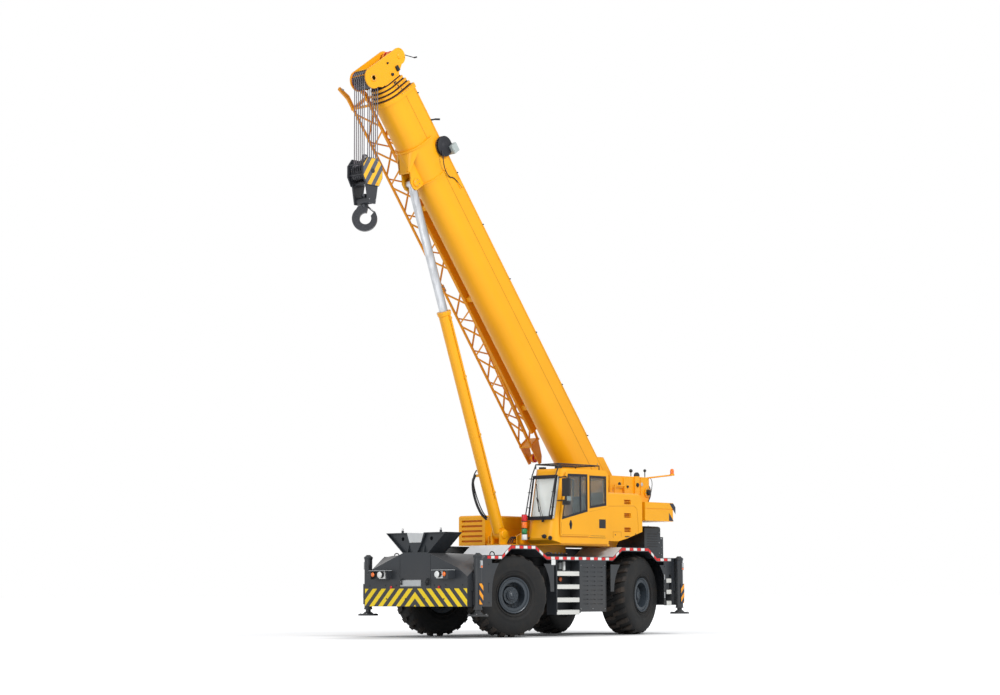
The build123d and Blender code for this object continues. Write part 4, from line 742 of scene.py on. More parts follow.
def add_door_parts():
    """The sliding door's seal, window bar, handle and its recess, and painted shade lines along its creases."""
    piece = Piece("door_parts", "door")
    y = (CAB_OUT + 0.036, CAB_OUT + 0.0385)
    frame_band(piece, [(0.655, 2.665), (-0.262, 2.865), (-0.262, 3.735), (0.438, 3.725)], y, 0.052, SEAL)
    piece.box((-0.03, 0.0), (CAB_OUT + 0.01, CAB_OUT + 0.036), (2.84, 3.7), SEAL)
    piece.lathe([(0, 0.001), (0.0, 0.055), (0.004, 0.055), (0.004, 0.001)], (0.34, CAB_OUT + 0.034, 2.56), OUT, SEAL,
        28)
    oval = [(0.34 + 0.042 * math.cos(t), 2.55 + 0.11 * math.sin(t)) for t in turns(24)]
    piece.side(oval, (CAB_OUT + 0.036, CAB_OUT + 0.0395), SEAL)
    piece.box((0.335, 0.35), (CAB_OUT + 0.0395, CAB_OUT + 0.05), (2.49, 2.6), BLACK)
    # Painted shade lines along the door's creases.
    for a, b in (((-0.315, 2.32), (0.64, 2.32)), ((0.668, 2.34), (0.668, 2.6))):
        piece.rod((a[0], CAB_OUT + 0.036, a[1]), (b[0], CAB_OUT + 0.036, b[1]), 0.004, PAINTED_SHADE, 6)
    piece.done(0.001)


def add_cab_trim():
    """Painted shade lines along the creases and panel seams, door track, blank plate, vents with painted shade behind
    them and covers of the cab and left hood, and the cab's lamps.
    """
    piece = Piece("cab_trim", "superstructure")
    y = CAB_OUT
    piece.box((-0.95, -0.36), (y, y + 0.005), (2.262, 2.272), BLACK)
    piece.box((-0.93, -0.4), (y, y + 0.0052), (2.275, 2.312), SEAL)
    piece.box((-0.96, -0.72), (y - 0.003, y + 0.001), (2.49, 2.7), SEAL)
    piece.box((-0.945, -0.735), (y - 0.002, y + 0.0015), (2.505, 2.685), BLACK)
    # Painted shade line along the cab's crease.
    crease = [(-0.34, 2.86), (-1.055, 2.985)]
    piece.rod((crease[0][0], y - 0.003, crease[0][1]), (crease[1][0], y - 0.003, crease[1][1]), 0.0045, PAINTED_SHADE, 6)
    hood = HOOD_OUT
    # Painted shade lines along the left hood's panel seams.
    for a, b in (((-1.075, 3.02), (-2.1, 3.05)), ((-2.1, 3.05), (-2.2, 2.98)), ((-2.2, 2.98), (-2.24, 2.6)),
            ((-2.24, 2.6), (-2.24, 2.42)), ((-1.3, 2.28), (-1.3, 2.42)), ((-1.3, 2.42), (-1.6, 2.42)),
            ((-1.6, 2.42), (-1.6, 2.31))):
        piece.rod((a[0], hood + 0.001, a[1]), (b[0], hood + 0.001, b[1]), 0.0045, PAINTED_SHADE, 6)
    # Painted shade behind the vents of the left hood.
    for z in (3.14, 2.82, 2.48):
        piece.box((-1.97, -1.72), (hood - 0.066, hood - 0.062), (z - 0.05, z + 0.05), PAINTED_VENT_SHADE)
    piece.lathe([(0, 0.016), (0.006, 0.014)], (-2.14, hood, 2.38), OUT, BLACK, 14)
    piece.lathe([(0, 0.016), (0.006, 0.014)], (-1.38, hood, 2.35), OUT, BLACK, 14)
    piece.box((-1.9, -1.74), (hood, hood + 0.012), (2.305, 2.325), BLACK)
    piece.done(0.001)
    lights = Piece("cab_lights", "superstructure")
    x, ty = 1.01, 0.7
    for low, high, material in ((2.205, 2.33, LAMP), (2.345, 2.46, GREEN), (2.475, 2.62, AMBER), (2.635, 2.785, RED)):
        lights.lathe([(0, 0.0635), (0.006, 0.0665), (high - low - 0.006, 0.0665), (high - low, 0.0635)], (x, ty, low),
            UP, material, 28)
    for low in (2.33, 2.46, 2.62):
        lights.lathe([(0, 0.069), (0.015, 0.069)], (x, ty, low), UP, BLACK, 28)
    lights.lathe([(0, 0.05), (0.04, 0.048), (0.055, 0.03)], (0.9, 1.22, 2.28), (1, 0.25, -0.1), SEAL, 22)
    lights.lathe([(0, 0.05), (0.03, 0.044)], (0.885, 1.38, 2.24), (1, 0.5, -0.2), SEAL, 18)
    lights.rod((0.86, 1.1, 2.3), (0.91, 1.22, 2.28), 0.012, SEAL, 8)
    lights.done(0.001)


def add_cab_inside():
    """Seat cushion, armrests, levers, steering wheel and console screen."""
    piece = Piece("cab_interior_parts", "superstructure")
    floor = CAB_FLOOR
    piece.loft([[(-0.61 + dx, 1.03 + dy * 0.22, floor + 0.462 + up) for dx,
        dy in ((0, -1), (0.48, -1), (0.5, 0), (0.48, 1), (0, 1), (-0.02, 0))] for up in (0, 0.05)], SEAT)
    for y in (0.79, 1.27):
        piece.box((-0.5, -0.1), (y - 0.04, y + 0.04), (floor + 0.55, floor + 0.62), SEAT)
        piece.rod((-0.1, y, floor + 0.6), (-0.06, y, floor + 0.82), 0.012, BLACK, 8)
        piece.lathe([(0, 0.02), (0.03, 0.03), (0.06, 0.02)], (-0.06, y, floor + 0.8), UP, BLACK, 14)
    rim = [(0.33 + 0.045 * math.cos(t), 1.03 + 0.19 * math.cos(t + math.pi / 2),
        floor + 0.72 + 0.19 * math.sin(t + math.pi / 2)) for t in turns(20)]
    for k in range(20):
        piece.rod(rim[k], rim[(k + 1) % 20], 0.014, BLACK, 8)
    piece.rod((0.38, 1.03, floor + 0.62), (0.33, 1.03, floor + 0.72), 0.025, BLACK, 10)
    piece.box((0.42, 0.46), (0.68, 0.86), (floor + 0.42, floor + 0.68), BLACK)
    piece.done(0.006)


def add_roof_parts():
    """Brackets and bars on the cab roof, and short pins up the front posts."""
    piece = Piece("cab_roof_parts", "superstructure")
    for y in (0.78, 1.27):
        piece.box((0.4, 0.52), (y - 0.06, y + 0.06), (3.852, 3.9), BLACK)
    for y in (0.66, 1.39):
        for z in (3.62, 3.3, 2.95, 2.76):
            x = 0.78 - (z - 2.76) * 0.16
            piece.rod((x, y, z), (x + 0.14, y, z), 0.009, BLACK, 8)
    for y in (0.85, 1.0, 1.15):
        piece.rod((-0.86, y, 3.96), (0.56, y, 3.96), 0.006, BLACK, 6)
    piece.done()


def add_hood_parts():
    """Painted slot shadows, hinges and latches of the right hood, painted shade lines on it, and the turntable's pin
    caps, bolts, pipes and hoses.
    """
    piece = Piece("hood_parts", "superstructure")
    pitch = (2.81 - 2.1 - 0.12) / 5
    # Painted slot shadows: thin darker orange strips on the right hood.
    for k in range(5):
        low = 2.1 + 0.08 + k * pitch
        piece.box((0.892, 0.895), (-1.355, -0.695), (low + 0.002, low + 0.043), PAINTED_VENT_SHADE)
    for x in (-1.2, -0.3, 0.6):
        piece.box((x, x + 0.12), (-1.456, -1.45), (2.62, 2.68), STEEL_GREY)
        piece.box((x, x + 0.06), (-1.454, -1.45), (2.2, 2.24), BLACK)
    # Painted shade lines along the right hood's seams.
    for x in (-0.45, 0.4):
        piece.rod((x, -1.4505, 2.14), (x, -1.4505, 2.78), 0.004, PAINTED_SHADE, 6)
    piece.done()
    small = Piece("turntable_parts", "superstructure")
    for sign in (-1, 1):
        small.lathe(cap(0.13, 0.018, 0.03, 0.11), (FOOT[0], sign * 0.49, FOOT[1]), (0, sign, 0), YELLOW, 32)
        small.bolts(circle(turns(8), 0.1, (FOOT[0], sign * 0.52, FOOT[1]), 1), (0, sign, 0), 0.012, STEEL)
        small.lathe(cap(0.1, 0.014, 0.022, 0.085), (CYL_FOOT[0], sign * 0.15, CYL_FOOT[1]), (0, sign, 0), YELLOW, 28)
    small.bolts(circle(turns(40), 0.745, (-0.15, 0, 1.9), 2), UP, 0.015, STEEL, 0.03)
    for y in (0.25, 0.3, 0.35):
        small.rod((-1.6, y, 2.135), (0.9, y, 2.135), 0.012, BLACK, 8)
    small.box((0.3, 0.6), (0.2, 0.4), (2.12, 2.28), BLACK)
    small.lathe([(0, 0.11), (0.3, 0.11), (0.32, 0.08)], (-0.4, -0.3, 2.12), UP, BLACK, 28)
    small.done(0.002)
    for k, y in enumerate((0.24, 0.3, 0.36)):
        tube(f"swivel_hose_{k}", "superstructure",
            [(0.6, y, 2.16), (0.75, y, 2.2), (0.9, y, 2.3), (1.0, y - 0.04, 2.22), (1.02, y - 0.05, 2.13)], 0.014,
            BLACK)


WINCH = (-3.36, 3.43)


def add_winch_rope():
    """Rope wound lay beside lay on the drum, the winch frame's small parts, and the beacon with its lead."""
    x, z = WINCH
    piece = Piece("hoist_rope_lay", "winch")
    profile = [(-0.738, 0.166)]
    count = 62
    pitch = 1.476 / count
    for k in range(count):
        start = -0.738 + k * pitch
        profile += [(start + pitch * 0.15, 0.178), (start + pitch * 0.5, 0.184), (start + pitch * 0.85, 0.178),
            (start + pitch, 0.168)]
    piece.lathe(profile, (x, 0, z), OUT, ROPE, 40)
    piece.done()
    ends = Piece("winch_parts", "superstructure")
    for sign in (-1, 1):
        ends.bolts(circle(turns(8), 0.09, (x, sign * 0.85, z), 1), (0, sign, 0), 0.012, STEEL)
        ends.lathe([(0, 0.07), (0.05, 0.066), (0.06, 0.03), (0.06, 0)], (x, sign * 0.85, z), (0, sign, 0), BLACK, 24)
        ends.rod((-2.6, sign * 0.82, 3.55), (-2.6, sign * 0.85, 3.55), 0.03, BLACK, 16)
        ends.rod((-2.3, sign * 0.82, 3.6), (-2.3, sign * 0.83, 3.6), 0.05, BLACK, 16)
        for px in (-3.1, -2.45):
            ends.box((px - 0.012, px + 0.012), (sign * 0.82, sign * 0.84), (3.37, 3.79), YELLOW)
    ends.lathe(cap(0.05, 0.02, 0.03, 0.03), (-2.94, 0.86, 3.6), OUT, BLACK, 20)
    ends.lathe(cap(0.045, 0.02, 0.03, 0.03), (-3.14, 0.822, 3.62), OUT, PALE_GREY, 20)
    ends.lathe([(0, 0.0455), (0.01, 0.048), (0.085, 0.047), (0.118, 0.034), (0.127, 0)], (-3.75, 1.3, 3.885), UP,
        AMBER, 28)
    ends.done(0.001)
    tube("beacon_lead", "superstructure", [(-3.45, 0.86, 3.78), (-3.5, 0.88, 3.72), (-3.47, 0.88, 3.5),
        (-3.44, 0.84, 3.3), (-3.4, 0.83, 3.2)], 0.008, BLACK)


def add_counterweight_parts():
    """Dark hazard shapes on the sides and the back of the counterweight."""
    lowest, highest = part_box("counterweight")
    back, low, high = lowest.x - MID_X, lowest.z, highest.z
    piece = Piece("counterweight_parts", "superstructure")
    for sign in (-1, 1):
        y = (sign * 1.4505, sign * 1.453)
        for outline in ([(back + 0.26, low + 0.01), (back + 0.08, low + 0.01), (back + 0.26, low + 0.21)],
                [(back + 0.24, high - 0.01), (back + 0.09, high - 0.01), (back + 0.005, high - 0.1),
                (back + 0.005, high - 0.27)]):
            piece.side(outline, y, STRIPE_DARK)
    for py in (-0.9, 0.9):
        piece.box((back - 0.001, back + 0.002), (py - 0.14, py + 0.14), (low + 0.04, high - 0.04), STRIPE_DARK)
    piece.done(0.001)


# ---- boom, drawn along its own X from the foot pin, with Z up from the pin's line ----
BASE_END = 11.6
COLLAR_PITCH = 0.092
WIDE = (0.76, 0.69, 0.625, 0.565, 0.505)
TALL = (0.89, 0.82, 0.755, 0.69, 0.63)
BELLY = -0.08
COLLAR_GROW = (0.03, 0.012, 0.012, 0.012)


def boom_top(k, grow=0.0):
    """Height of section k's flat top over the boom's line, grown outward."""
    return BELLY - WIDE[k] / 2 + TALL[k] + grow


def boom_outline(k, grow, count=20):
    """Section k's outline across the boom, grown outward: flat top and round belly."""
    half = WIDE[k] / 2 + grow
    top = boom_top(k, grow)
    belly = [(half * math.cos(math.pi + math.pi * j / count), BELLY + half * math.sin(math.pi + math.pi * j / count))
        for j in range(count + 1)]
    return [(half, top), (-half, top)] + belly


def add_collar_parts():
    """Wear-pad keepers, painted shade on the collars' front faces, dark gaps of painted shadow and bolts round each
    section's front collar.
    """
    bodies = ["boom", "section_2", "section_3", "section_4"]
    for k in range(4):
        end = BASE_END + k * COLLAR_PITCH
        piece = Piece(f"collar_parts_{k + 1}", bodies[k], BOOM_FRAME)
        grow = COLLAR_GROW[k]
        low = [(end + 0.0005, y, n) for y, n in boom_outline(k, grow - 0.001)]
        high = [(end + 0.004, y, n) for y, n in boom_outline(k, grow - 0.004)]
        inner = [(end + 0.004, y, n) for y, n in boom_outline(k + 1, 0.004)]
        inner_low = [(end + 0.0005, y, n) for y, n in boom_outline(k + 1, 0.004)]
        # The collar's front face in painted shade.
        piece.loft([low, high, inner, inner_low], PAINTED_SHADE, closed=False)
        half = WIDE[k] / 2 + grow
        top = boom_top(k, grow)
        for sign in (-1, 1):
            for n in (top - 0.1, top - 0.3, 0.0):
                piece.box((end - 0.045, end - 0.005), (sign * half, sign * (half + 0.01)), (n - 0.06, n + 0.06),
                    YELLOW)
                piece.bolts([(end - 0.025, sign * (half + 0.01), n + d) for d in (-0.035, 0.035)], (0, sign, 0),
                    0.009, STEEL)
        for y in (-0.2, 0.0, 0.2):
            piece.box((end - 0.045, end - 0.005), (y - 0.05, y + 0.05), (top, top + 0.012), YELLOW)
            piece.bolts([(end - 0.025, y + d, top + 0.012) for d in (-0.03, 0.03)], UP, 0.009, STEEL)
        piece.done()
    for k in range(4):
        end = BASE_END + k * COLLAR_PITCH
        # A dark band round the next section in front of the collar: painted shadow in the gap.
        gap = Piece(f"collar_gap_painted_shadow_{k + 1}", bodies[k], BOOM_FRAME)
        start = end + 0.0045
        rows = [[(at, y, n) for y, n in boom_outline(k + 1, 0.0035 + grow)] for at,
            grow in ((start, 0), (start, 0.006), (start + 0.028, 0.006), (start + 0.028, 0))]
        gap.loft(rows, PAINTED_GAP_SHADOW, closed=False)
        gap.done()


def add_boom_parts():
    """Painted shade lines along the side's weld seam and fold, rope guides, sensor rod, cable and reel of the boom's
    base section.
    """
    piece = Piece("boom_base_parts", "boom", BOOM_FRAME)
    half = WIDE[0] / 2
    top = boom_top(0)
    for sign in (-1, 1):
        # Painted shade lines: along each side's fold and just below its top edge.
        piece.box((0.4, BASE_END - 0.12), (sign * half, sign * (half + 0.004)), (0.066, 0.078), PAINTED_SHADE)
        piece.box((-0.1, BASE_END - 0.12), (sign * half, sign * (half + 0.003)), (top - 0.03, top - 0.022), PAINTED_SHADE)
        for s in (0.22, 0.62, 1.1):
            piece.bolts([(s, sign * (half + 0.001), n) for n in (0.2, 0.32)], (0, sign, 0), 0.014, STEEL)
    for s in (1.8, 3.3, 4.8, 6.3, 7.8, 9.2, 10.6, 11.3):
        piece.box((s, s + 0.05), (0.27, 0.33), (top, top + 0.05), YELLOW)
        piece.rod((s + 0.025, 0.24, top + 0.06), (s + 0.025, 0.36, top + 0.06), 0.014, BLACK, 10)
    piece.rod((1.8, 0.3, top + 0.085), (11.58, 0.3, top + 0.085), 0.011, YELLOW, 8)
    for s in (6.34, 10.6):
        piece.lathe([(-0.03, 0.05), (-0.02, 0.035), (0.02, 0.035), (0.03, 0.05)], (s, 0.19, top + 0.09), OUT, BLACK,
            20)
    piece.rod((10.6, 0.09, top + 0.1), (10.6, 0.42, top + 0.1), 0.018, BLACK, 12)
    piece.rod((10.6, 0.42, top + 0.1), (10.55, 0.5, top + 0.16), 0.022, BLACK, 10)
    piece.box((10.72, 10.82), (-0.2, 0.2), (top, top + 0.06), YELLOW)
    piece.box((8.9, 9.1), (half, half + 0.02), (0.3, 0.42), YELLOW)
    piece.done(0.002)
    reel = Piece("cable_reel_parts", "boom", BOOM_FRAME)
    s, n = 9.97, 0.38
    reel.lathe([(0.4, 0.231), (0.404, 0.235), (0.412, 0.235), (0.416, 0.225), (0.417, 0.18)], (s, 0, n), OUT, SEAL, 44)
    reel.lathe([(0.464, 0.18), (0.465, 0.231), (0.469, 0.2355), (0.477, 0.2355), (0.4815, 0.228), (0.483, 0.12),
        (0.49, 0.1), (0.5, 0.07), (0.507, 0.05), (0.507, 0)], (s, 0, n), OUT, SEAL, 44)
    rows = [(0.417, 0.191)]
    for k in range(5):
        start = 0.417 + k * 0.0094
        rows += [(start + 0.002, 0.198), (start + 0.0047, 0.2), (start + 0.0075, 0.198), (start + 0.0094, 0.192)]
    reel.lathe(rows, (s, 0, n), OUT, BLACK, 44)
    reel.box((9.697, 9.903), (0.345, 0.563), (0.477, 0.663), BOX_GREY)
    reel.box((9.715, 9.885), (0.563, 0.569), (0.495, 0.645), BOX_GREY)
    reel.rod((9.76, 0.45, 0.663), (9.76, 0.45, 0.72), 0.02, PALE_GREY, 12)
    reel.rod((9.83, 0.5, 0.663), (9.83, 0.5, 0.69), 0.016, BLACK, 12)
    reel.done(0.003)
    tube("reel_lead", "boom", [(9.95, 0.5, 0.2), (9.85, 0.53, 0.13), (9.6, 0.47, 0.05), (9.3, 0.4, 0.12),
        (9.2, 0.392, 0.3), (8.9, 0.392, 0.34)], 0.011, BLACK, BOOM_FRAME)
    tube("hoist_line", "boom", [(-0.28, 0.0, top + 0.02), (1.0, 0.0, top + 0.05), (6.34, 0.0, top + 0.205),
        (10.6, 0.0, top + 0.145), (11.55, 0.0, top + 0.12)], 0.011, ROPE, BOOM_FRAME)


def add_saddle_parts():
    """Eye bosses, weld beads in painted shade, bolts and the flared face of the lift cylinder's saddle."""
    s, n = CYL_EYE
    piece = Piece("saddle_parts", "boom", BOOM_FRAME)
    for sign in (-1, 1):
        piece.lathe(cap(0.1, 0.02, 0.03, 0.085), (s, sign * 0.15, n), (0, sign, 0), YELLOW, 30)
        piece.bolts(circle((0.8, 2.4, 3.9, 5.5), 0.065, (s, sign * 0.18, n), 1), (0, sign, 0), 0.01, STEEL)
        # Weld bead drawn in painted shade.
        piece.rod((s + 0.4, sign * 0.13, -0.66), (s + 0.62, sign * 0.13, -0.5), 0.008, PAINTED_SHADE, 6)
    piece.done()
    face = Piece("saddle_face", "boom", BOOM_FRAME)
    half = WIDE[0] / 2 + 0.015
    rows = []
    for lift in (0.0, 0.022):
        belly = [(10.362 - lift, half * math.cos(math.pi + t), BELLY + half * math.sin(math.pi + t))
            for t in [math.radians(d) for d in range(14, 167, 8)]]
        foot = [(9.95 - lift, y, -0.722) for y in (0.155, -0.155)]
        rows.append(belly + foot)
    face.loft(rows, YELLOW)
    for sign in (-1, 1):
        wing = [(10.352, sign * half * math.cos(math.radians(d)), BELLY - half * math.sin(math.radians(d)))
            for d in (14, 30, 46, 62)]
        wing.append((9.95, sign * 0.155, -0.722))
        face.loft([wing, [(px - 0.001, py * 0.96, pn) for px, py, pn in wing]], YELLOW)
    face.done(0.002)


def add_head_parts():
    """Axle caps, rope guards, red sheaves, a small arm and a box of the boom head."""
    s, n = HEAD_AXLE
    ts, tn = TOP_AXLE
    piece = Piece("head_parts", "section_5", BOOM_FRAME)
    for sign in (-1, 1):
        y = sign * 0.255
        piece.lathe(cap(0.085, 0.012, 0.02, 0.07), (s, y, n), (0, sign, 0), YELLOW, 30)
        piece.bolts(circle(turns(6), 0.062, (s, y + sign * 0.02, n), 1), (0, sign, 0), 0.009, STEEL)
        piece.lathe(cap(0.065, 0.012, 0.018, 0.05), (ts, y, tn), (0, sign, 0), YELLOW, 26)
        piece.rod((12.02, y, 0.1), (12.02, y + sign * 0.03, 0.1), 0.035, BLACK, 16)
        piece.rod((12.3, y, 0.12), (12.3, y + sign * 0.03, 0.12), 0.022, BLACK, 14)
        piece.rod((s + 0.16, -0.24 * sign, n - 0.12), (s + 0.16, 0.24 * sign, n - 0.12), 0.014, YELLOW, 10)
    piece.rod((s + 0.225, -0.255, n + 0.02), (s + 0.225, 0.255, n + 0.02), 0.012, YELLOW, 10)
    piece.rod((ts + 0.1, -0.255, tn + 0.13), (ts + 0.1, 0.255, tn + 0.13), 0.014, YELLOW, 10)
    piece.rod((ts - 0.1, -0.255, tn + 0.13), (ts - 0.1, 0.255, tn + 0.13), 0.014, YELLOW, 10)
    for y in (-0.12, 0, 0.12):
        piece.lathe([(-0.0235, 0.12), (-0.0235, 0.152), (-0.0215, 0.1535), (-0.0115, 0.1415), (0.0115, 0.1415),
            (0.0215, 0.1535), (0.0235, 0.152), (0.0235, 0.12)], (ts, y, tn), OUT, RED, 40, ring=True)
    piece.rod((ts - 0.05, 0.2, tn + 0.19), (ts - 0.22, 0.36, tn + 0.3), 0.01, BLACK, 8)
    piece.rod((ts - 0.22, 0.36, tn + 0.3), (ts - 0.22, 0.44, tn + 0.3), 0.018, BLACK, 10)
    piece.box((12.0, 12.12), (0.256, 0.3), (0.28, 0.36), BLACK)
    piece.done(0.002)
    for sign in (-1, 1):
        red = Piece(f"edge_sheave_{'left' if sign > 0 else 'right'}", "head_sheaves")
        red.lathe([(0, 0.06), (0, 0.213), (0.004, 0.2165), (0.008, 0.212), (0.009, 0.06)],
            (HEAD_X, sign * 0.2145 - 0.0045, HEAD_Z), OUT, RED, 44, ring=True)
        red.done()


def add_jib_parts():
    """Pins, red tip sheave, brackets and bolts of the lattice jib."""
    piece = Piece("jib_parts", "boom", BOOM_FRAME)
    for n in (-0.1, 0.42):
        for y in (-0.63, -1.24):
            piece.rod((6.55, y - 0.055, n), (6.55, y + 0.055, n), 0.02, STEEL, 12)
            piece.rod((6.65, y - 0.055, n), (6.65, y + 0.055, n), 0.02, STEEL, 12)
    for y in (-0.62, -1.18):
        for s, n in ((12.03, -0.165), (12.0, -0.14)):
            piece.rod((s, y - 0.036, n), (s, y + 0.036, n), 0.022, STEEL, 12)
        piece.box((11.46, 11.52), (y - 0.05, y + 0.05), (0.3, 0.47), YELLOW)
    piece.lathe([(-0.036, 0.04), (-0.036, 0.112), (-0.03, 0.1135), (-0.014, 0.095), (0.014, 0.095), (0.03, 0.1135),
        (0.036, 0.112), (0.036, 0.04)], (1.6, -1.155, -0.02), OUT, RED, 36, ring=True)
    for s in (3.2, 6.3, 8.8):
        piece.box((s - 0.09, s + 0.09), (-0.5, -0.38), (-0.1, -0.085), YELLOW)
        piece.bolts([(s + d, -0.44, -0.085) for d in (-0.05, 0.05)], UP, 0.012, STEEL)
    piece.done(0.002)


BARREL_END = 5.4


def add_cylinder_parts():
    """Gland ring, weld rings, bolts, hose ends and hoses of the lift cylinder."""
    end = BARREL_END
    piece = Piece("barrel_parts", "barrel", BARREL_FRAME)
    piece.lathe([(0, 0.161), (0.004, 0.163), (0.03, 0.163), (0.034, 0.158), (0.05, 0.15), (0.05, 0.143), (0, 0.143)],
        (end - 0.05, 0, 0), AHEAD, YELLOW, 48, ring=True)
    for a in turns(12):
        piece.bolts([(end - 0.02, 0.16 * math.cos(a), 0.16 * math.sin(a))], (0, math.cos(a), math.sin(a)), 0.008,
            STEEL)
    for x in (0.26, 2.4, 5.28):
        piece.lathe([(0, 0.142), (0.008, 0.147), (0.016, 0.142)], (x, 0, 0), AHEAD, YELLOW, 40, ring=True)
    for x in (1.03, 2.43, 3.83, 5.23):
        piece.bolts([(x, 0.184, z) for z in (-0.02, 0.02)], OUT, 0.007, STEEL)
    for x, y, z in ((1.48, -0.19, -0.11), (0.43, -0.19, -0.11)):
        piece.rod((x, y + 0.02, z), (x, y + 0.09, z + 0.03), 0.03, STEEL, 6)
    piece.done(0.001)
    tube("lift_hose", "barrel", [(1.48, -0.19, -0.11), (1.42, -0.24, -0.17), (1.15, -0.3, -0.2), (0.8, -0.29, -0.2),
        (0.52, -0.23, -0.17), (0.43, -0.19, -0.11)], 0.03, BLACK, BARREL_FRAME)
    tube("lift_hose_return", "barrel", [(1.6, -0.15, -0.06), (1.5, -0.24, -0.14), (1.2, -0.27, -0.17),
        (0.8, -0.25, -0.16), (0.5, -0.2, -0.12), (0.4, -0.13, -0.07)], 0.014, BLACK, BARREL_FRAME)


# ---- hook block ----
BLOCK_Z = 10.29
TRUNNION_Z = 9.64


def add_block_parts():
    """Striped cheeks, bolts, an axle cap, guard rods and ribs of the hook block."""
    x = HEAD_X
    piece = Piece("hook_block_parts", "hook_block")
    for sign in (-1, 1):
        y = sign * 0.255
        cheek = [(x - 0.288, BLOCK_Z - 0.127), (x - 0.184, BLOCK_Z - 0.318), (x + 0.184, BLOCK_Z - 0.318),
            (x + 0.288, BLOCK_Z - 0.127), (x + 0.288, BLOCK_Z + 0.116), (x + 0.164, BLOCK_Z + 0.278),
            (x - 0.164, BLOCK_Z + 0.278), (x - 0.288, BLOCK_Z + 0.116)]
        piece.side(cheek, (y, y + sign * 0.003), STRIPE_SLATE)
        lean = 0.62
        wide = 0.118
        for k in range(-6, 7):
            foot = x + (2 * k + 0.5) * wide
            run = 0.62 * lean
            band = [(foot, BLOCK_Z - 0.33), (foot + wide, BLOCK_Z - 0.33), (foot + wide - run, BLOCK_Z + 0.29),
                (foot - run, BLOCK_Z + 0.29)]
            for a, b in zip(cheek, cheek[1:] + cheek[:1]):
                band = clip(band, left_of(a, b))
            if len(band) > 2:
                piece.side(band, (y + sign * 0.003, y + sign * 0.0042), BLOCK_YELLOW)
        if sign < 0:
            piece.lathe(cap(0.075, 0.012, 0.016, 0.06), (x, sign * 0.27, BLOCK_Z), (0, sign, 0), BLOCK_GREY, 28)
        piece.bolts([(x + dx, y + sign * 0.004, BLOCK_Z - 0.27) for dx in (-0.13, 0.13)], (0, sign, 0), 0.02,
            STRIPE_ORANGE)
        piece.bolts([(x + dx, y + sign * 0.004, BLOCK_Z + 0.22) for dx in (-0.13, 0.13)], (0, sign, 0), 0.016, STEEL)
        piece.bolts([(x + 0.09 * dx, sign * 0.236, TRUNNION_Z + 0.01) for dx in (-1, 1)], (0, sign, 0), 0.014, STEEL)
    for dx in (-1, 1):
        for up in (-0.1, 0.14):
            piece.rod((x + dx * 0.262, -0.225, BLOCK_Z + up), (x + dx * 0.262, 0.225, BLOCK_Z + up), 0.013,
                BLOCK_GREY, 10)
        for k in range(6):
            y = (k - 2.5) * 0.062
            piece.box((x + dx * 0.236, x + dx * 0.25), (y - 0.006, y + 0.006), (BLOCK_Z - 0.2, BLOCK_Z + 0.1),
                BLOCK_GREY)
    piece.rod((x, -0.026, BLOCK_Z + 0.345), (x, 0.026, BLOCK_Z + 0.345), 0.03, STEEL, 18)
    piece.done(0.001)


def add_hook_parts():
    """Collar, latch pin and latch of the hook."""
    turn = CARRIER_FRAME @ Matrix.Translation((HEAD_X, 0, 0)) @ Matrix.Rotation(math.radians(131.8), 4, "Z")
    piece = Piece("hook_parts", "hook", turn)
    piece.lathe([(0, 0.062), (0.05, 0.075), (0.055, 0.07), (0.055, 0.0505), (0, 0.0505)], (0, 0, TRUNNION_Z - 0.155),
        UP, IRON, 30, ring=True)
    piece.rod((0.06, -0.02, 9.51), (0.06, 0.02, 9.51), 0.022, STEEL, 14)
    for y in (-0.018, 0.018):
        piece.rod((0.062, y, 9.52), (0.214, y, 9.39), 0.006, STEEL, 8)
    piece.done()


# ---- camera, light and floor ----
LENS = 80.07
CAMERA_PLACE = (39.321 + MID_X, 35.162, 0.979)
CAMERA_TURN = (-137.411, 6.308, -0.136)
FLOOR_REACH = 400
# The floor's glow is lower near the object and lowest in an oval under it: painted shadow.
FLOOR_GLOW = (0.36, 0.95)
GLOW_REACH = (5, 16)
PAINTED_SHADOW_OVAL = (5.4, 2.5)
PAINTED_SHADOW_REACH = (0.72, 1.12)
PAINTED_SHADOW_GLOW = (0.05, 1)
LAMP_TARGET = (0, 0, 4)


def add_camera():
    """The photograph's view: low, from the front left, with a long lens."""
    data = bpy.data.cameras.new("camera")
    data.sensor_width = 36
    data.lens = LENS
    data.clip_end = 500
    camera = bpy.data.objects.new("camera", data)
    scene.collection.objects.link(camera)
    yaw, pitch, roll = [math.radians(angle) for angle in CAMERA_TURN]
    look = Vector((math.cos(yaw) * math.cos(pitch), math.sin(yaw) * math.cos(pitch), math.sin(pitch)))
    turn = look.to_track_quat("-Z", "Y").to_matrix().to_4x4()
    camera.matrix_world = Matrix.Translation(CAMERA_PLACE) @ turn @ Matrix.Rotation(roll, 4, "Z")
    scene.camera = camera


def add_light(name, place, size, power):
    data = bpy.data.lights.new(name, "AREA")
    data.shape = "DISK"
    data.size = size
    data.energy = power
    light = bpy.data.objects.new(name, data)
    light.location = place
    light.rotation_euler = (Vector(LAMP_TARGET) - Vector(place)).to_track_quat("-Z", "Y").to_euler()
    scene.collection.objects.link(light)


def seen_only(tree):
    """1 for what the camera, mirrors and glass see."""
    path = tree.nodes.new("ShaderNodeLightPath")
    seen = path.outputs["Is Camera Ray"]
    for ray in ("Is Transmission Ray", "Is Glossy Ray"):
        seen = node(tree, "Math", {0: seen, 1: path.outputs[ray]}, operation="MAXIMUM")
    return seen


def fade(tree, place, start, end, low, high):
    """Smooth change from low to high as the distance from the middle passes from start to end."""
    length = node(tree, "VectorMath", {0: place}, "Value", operation="LENGTH")
    return node(tree, "MapRange", {"Value": length, "From Min": start, "From Max": end, "To Min": low,
        "To Max": high}, "Result", interpolation_type="SMOOTHSTEP")


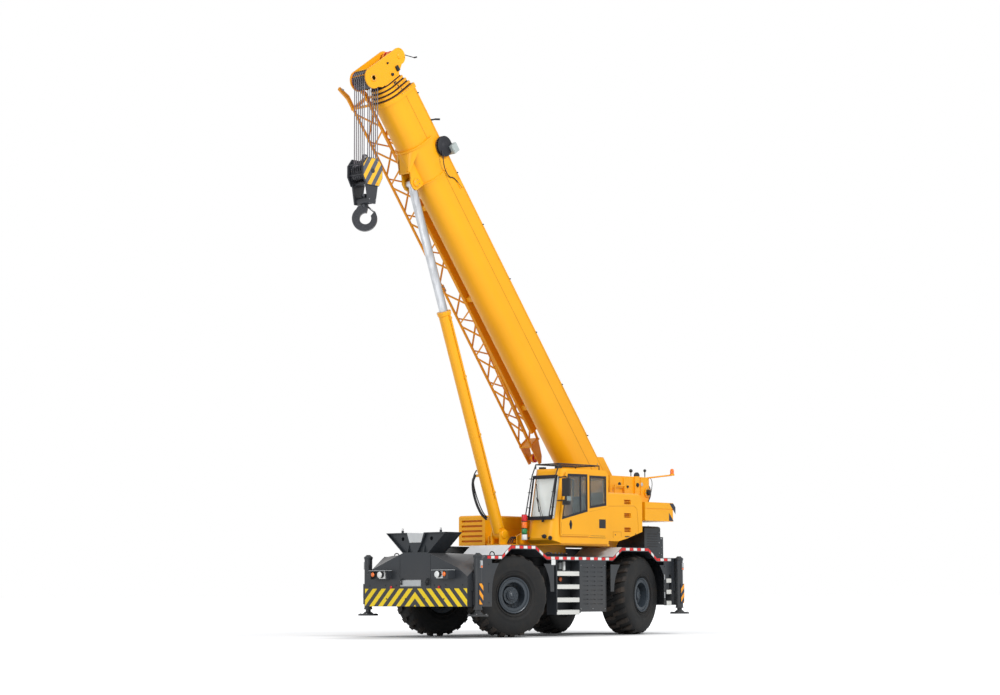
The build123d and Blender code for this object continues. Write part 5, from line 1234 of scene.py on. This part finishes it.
def add_floor():
    """White floor that keeps the object's shadow; its own glow is seen but lights nothing, and is dimmed near the
    object and most in an oval under it, a painted shadow.
    """
    mesh = bpy.data.meshes.new("floor")
    corners = [(-1, -1), (1, -1), (1, 1), (-1, 1)]
    mesh.from_pydata([(FLOOR_REACH * x, FLOOR_REACH * y, 0) for x, y in corners], [], [(0, 1, 2, 3)])
    floor = bpy.data.objects.new("floor", mesh)
    scene.collection.objects.link(floor)
    material, tree, shader = node_material("pale_floor", (0.8, 0.8, 0.8), 0.95, {"Specular IOR Level": 0.0})
    fill(tree, shader, {"Base Color": ramp(tree, noise(tree, 0.2), (0.79, 0.79, 0.79), (0.81, 0.81, 0.81))})
    place = node(tree, "TexCoord", {}, "Object")
    # Oval under the vehicle where the glow drops: painted shadow.
    oval = node(tree, "VectorMath", {0: place, 1: (1 / PAINTED_SHADOW_OVAL[0], 1 / PAINTED_SHADOW_OVAL[1], 0)}, "Vector",
        operation="MULTIPLY")
    glow = product(tree, fade(tree, place, *GLOW_REACH, *FLOOR_GLOW), fade(tree, oval, *PAINTED_SHADOW_REACH, *PAINTED_SHADOW_GLOW),
        seen_only(tree))
    light = node(tree, "Emission", {"Strength": glow})
    both = node(tree, "AddShader", {0: shader.outputs[0], 1: light})
    fill(tree, tree.nodes["Material Output"], {"Surface": both})
    mesh.materials.append(material)


def add_world():
    """Soft studio light on the object, and white wherever the camera sees past it."""
    world = bpy.data.worlds.new("studio")
    scene.world = world
    world.use_nodes = True
    tree = world.node_tree
    tree.nodes.clear()
    ambient = node(tree, "Background", {"Color": (0.93, 0.96, 1, 1), "Strength": 0.5})
    white = node(tree, "Background", {"Color": (1, 1, 1, 1)})
    mix = node(tree, "MixShader", {"Fac": seen_only(tree), 1: ambient, 2: white})
    fill(tree, tree.nodes.new("ShaderNodeOutputWorld"), {"Surface": mix})


scene.view_settings.view_transform = "Standard"
add_camera()
add_world()
add_floor()
add_light("key", (6, 26, 22), 10, 6300)
add_light("fill", (30, 4, 9), 14, 2100)
dress_nodes()
for end in AXLES:
    for side in SIDES:
        add_tyre(end, side)
        add_rim_parts(end, side)
add_deck_tape()
add_bumper()
add_jack_parts()
add_side_parts()
add_rear_parts()
add_arches()
add_rest_parts()
add_windows()
add_door_parts()
add_cab_trim()
add_cab_inside()
add_roof_parts()
add_hood_parts()
add_winch_rope()
add_counterweight_parts()
add_collar_parts()
add_boom_parts()
add_saddle_parts()
add_head_parts()
add_jib_parts()
add_cylinder_parts()
add_block_parts()
add_hook_parts()
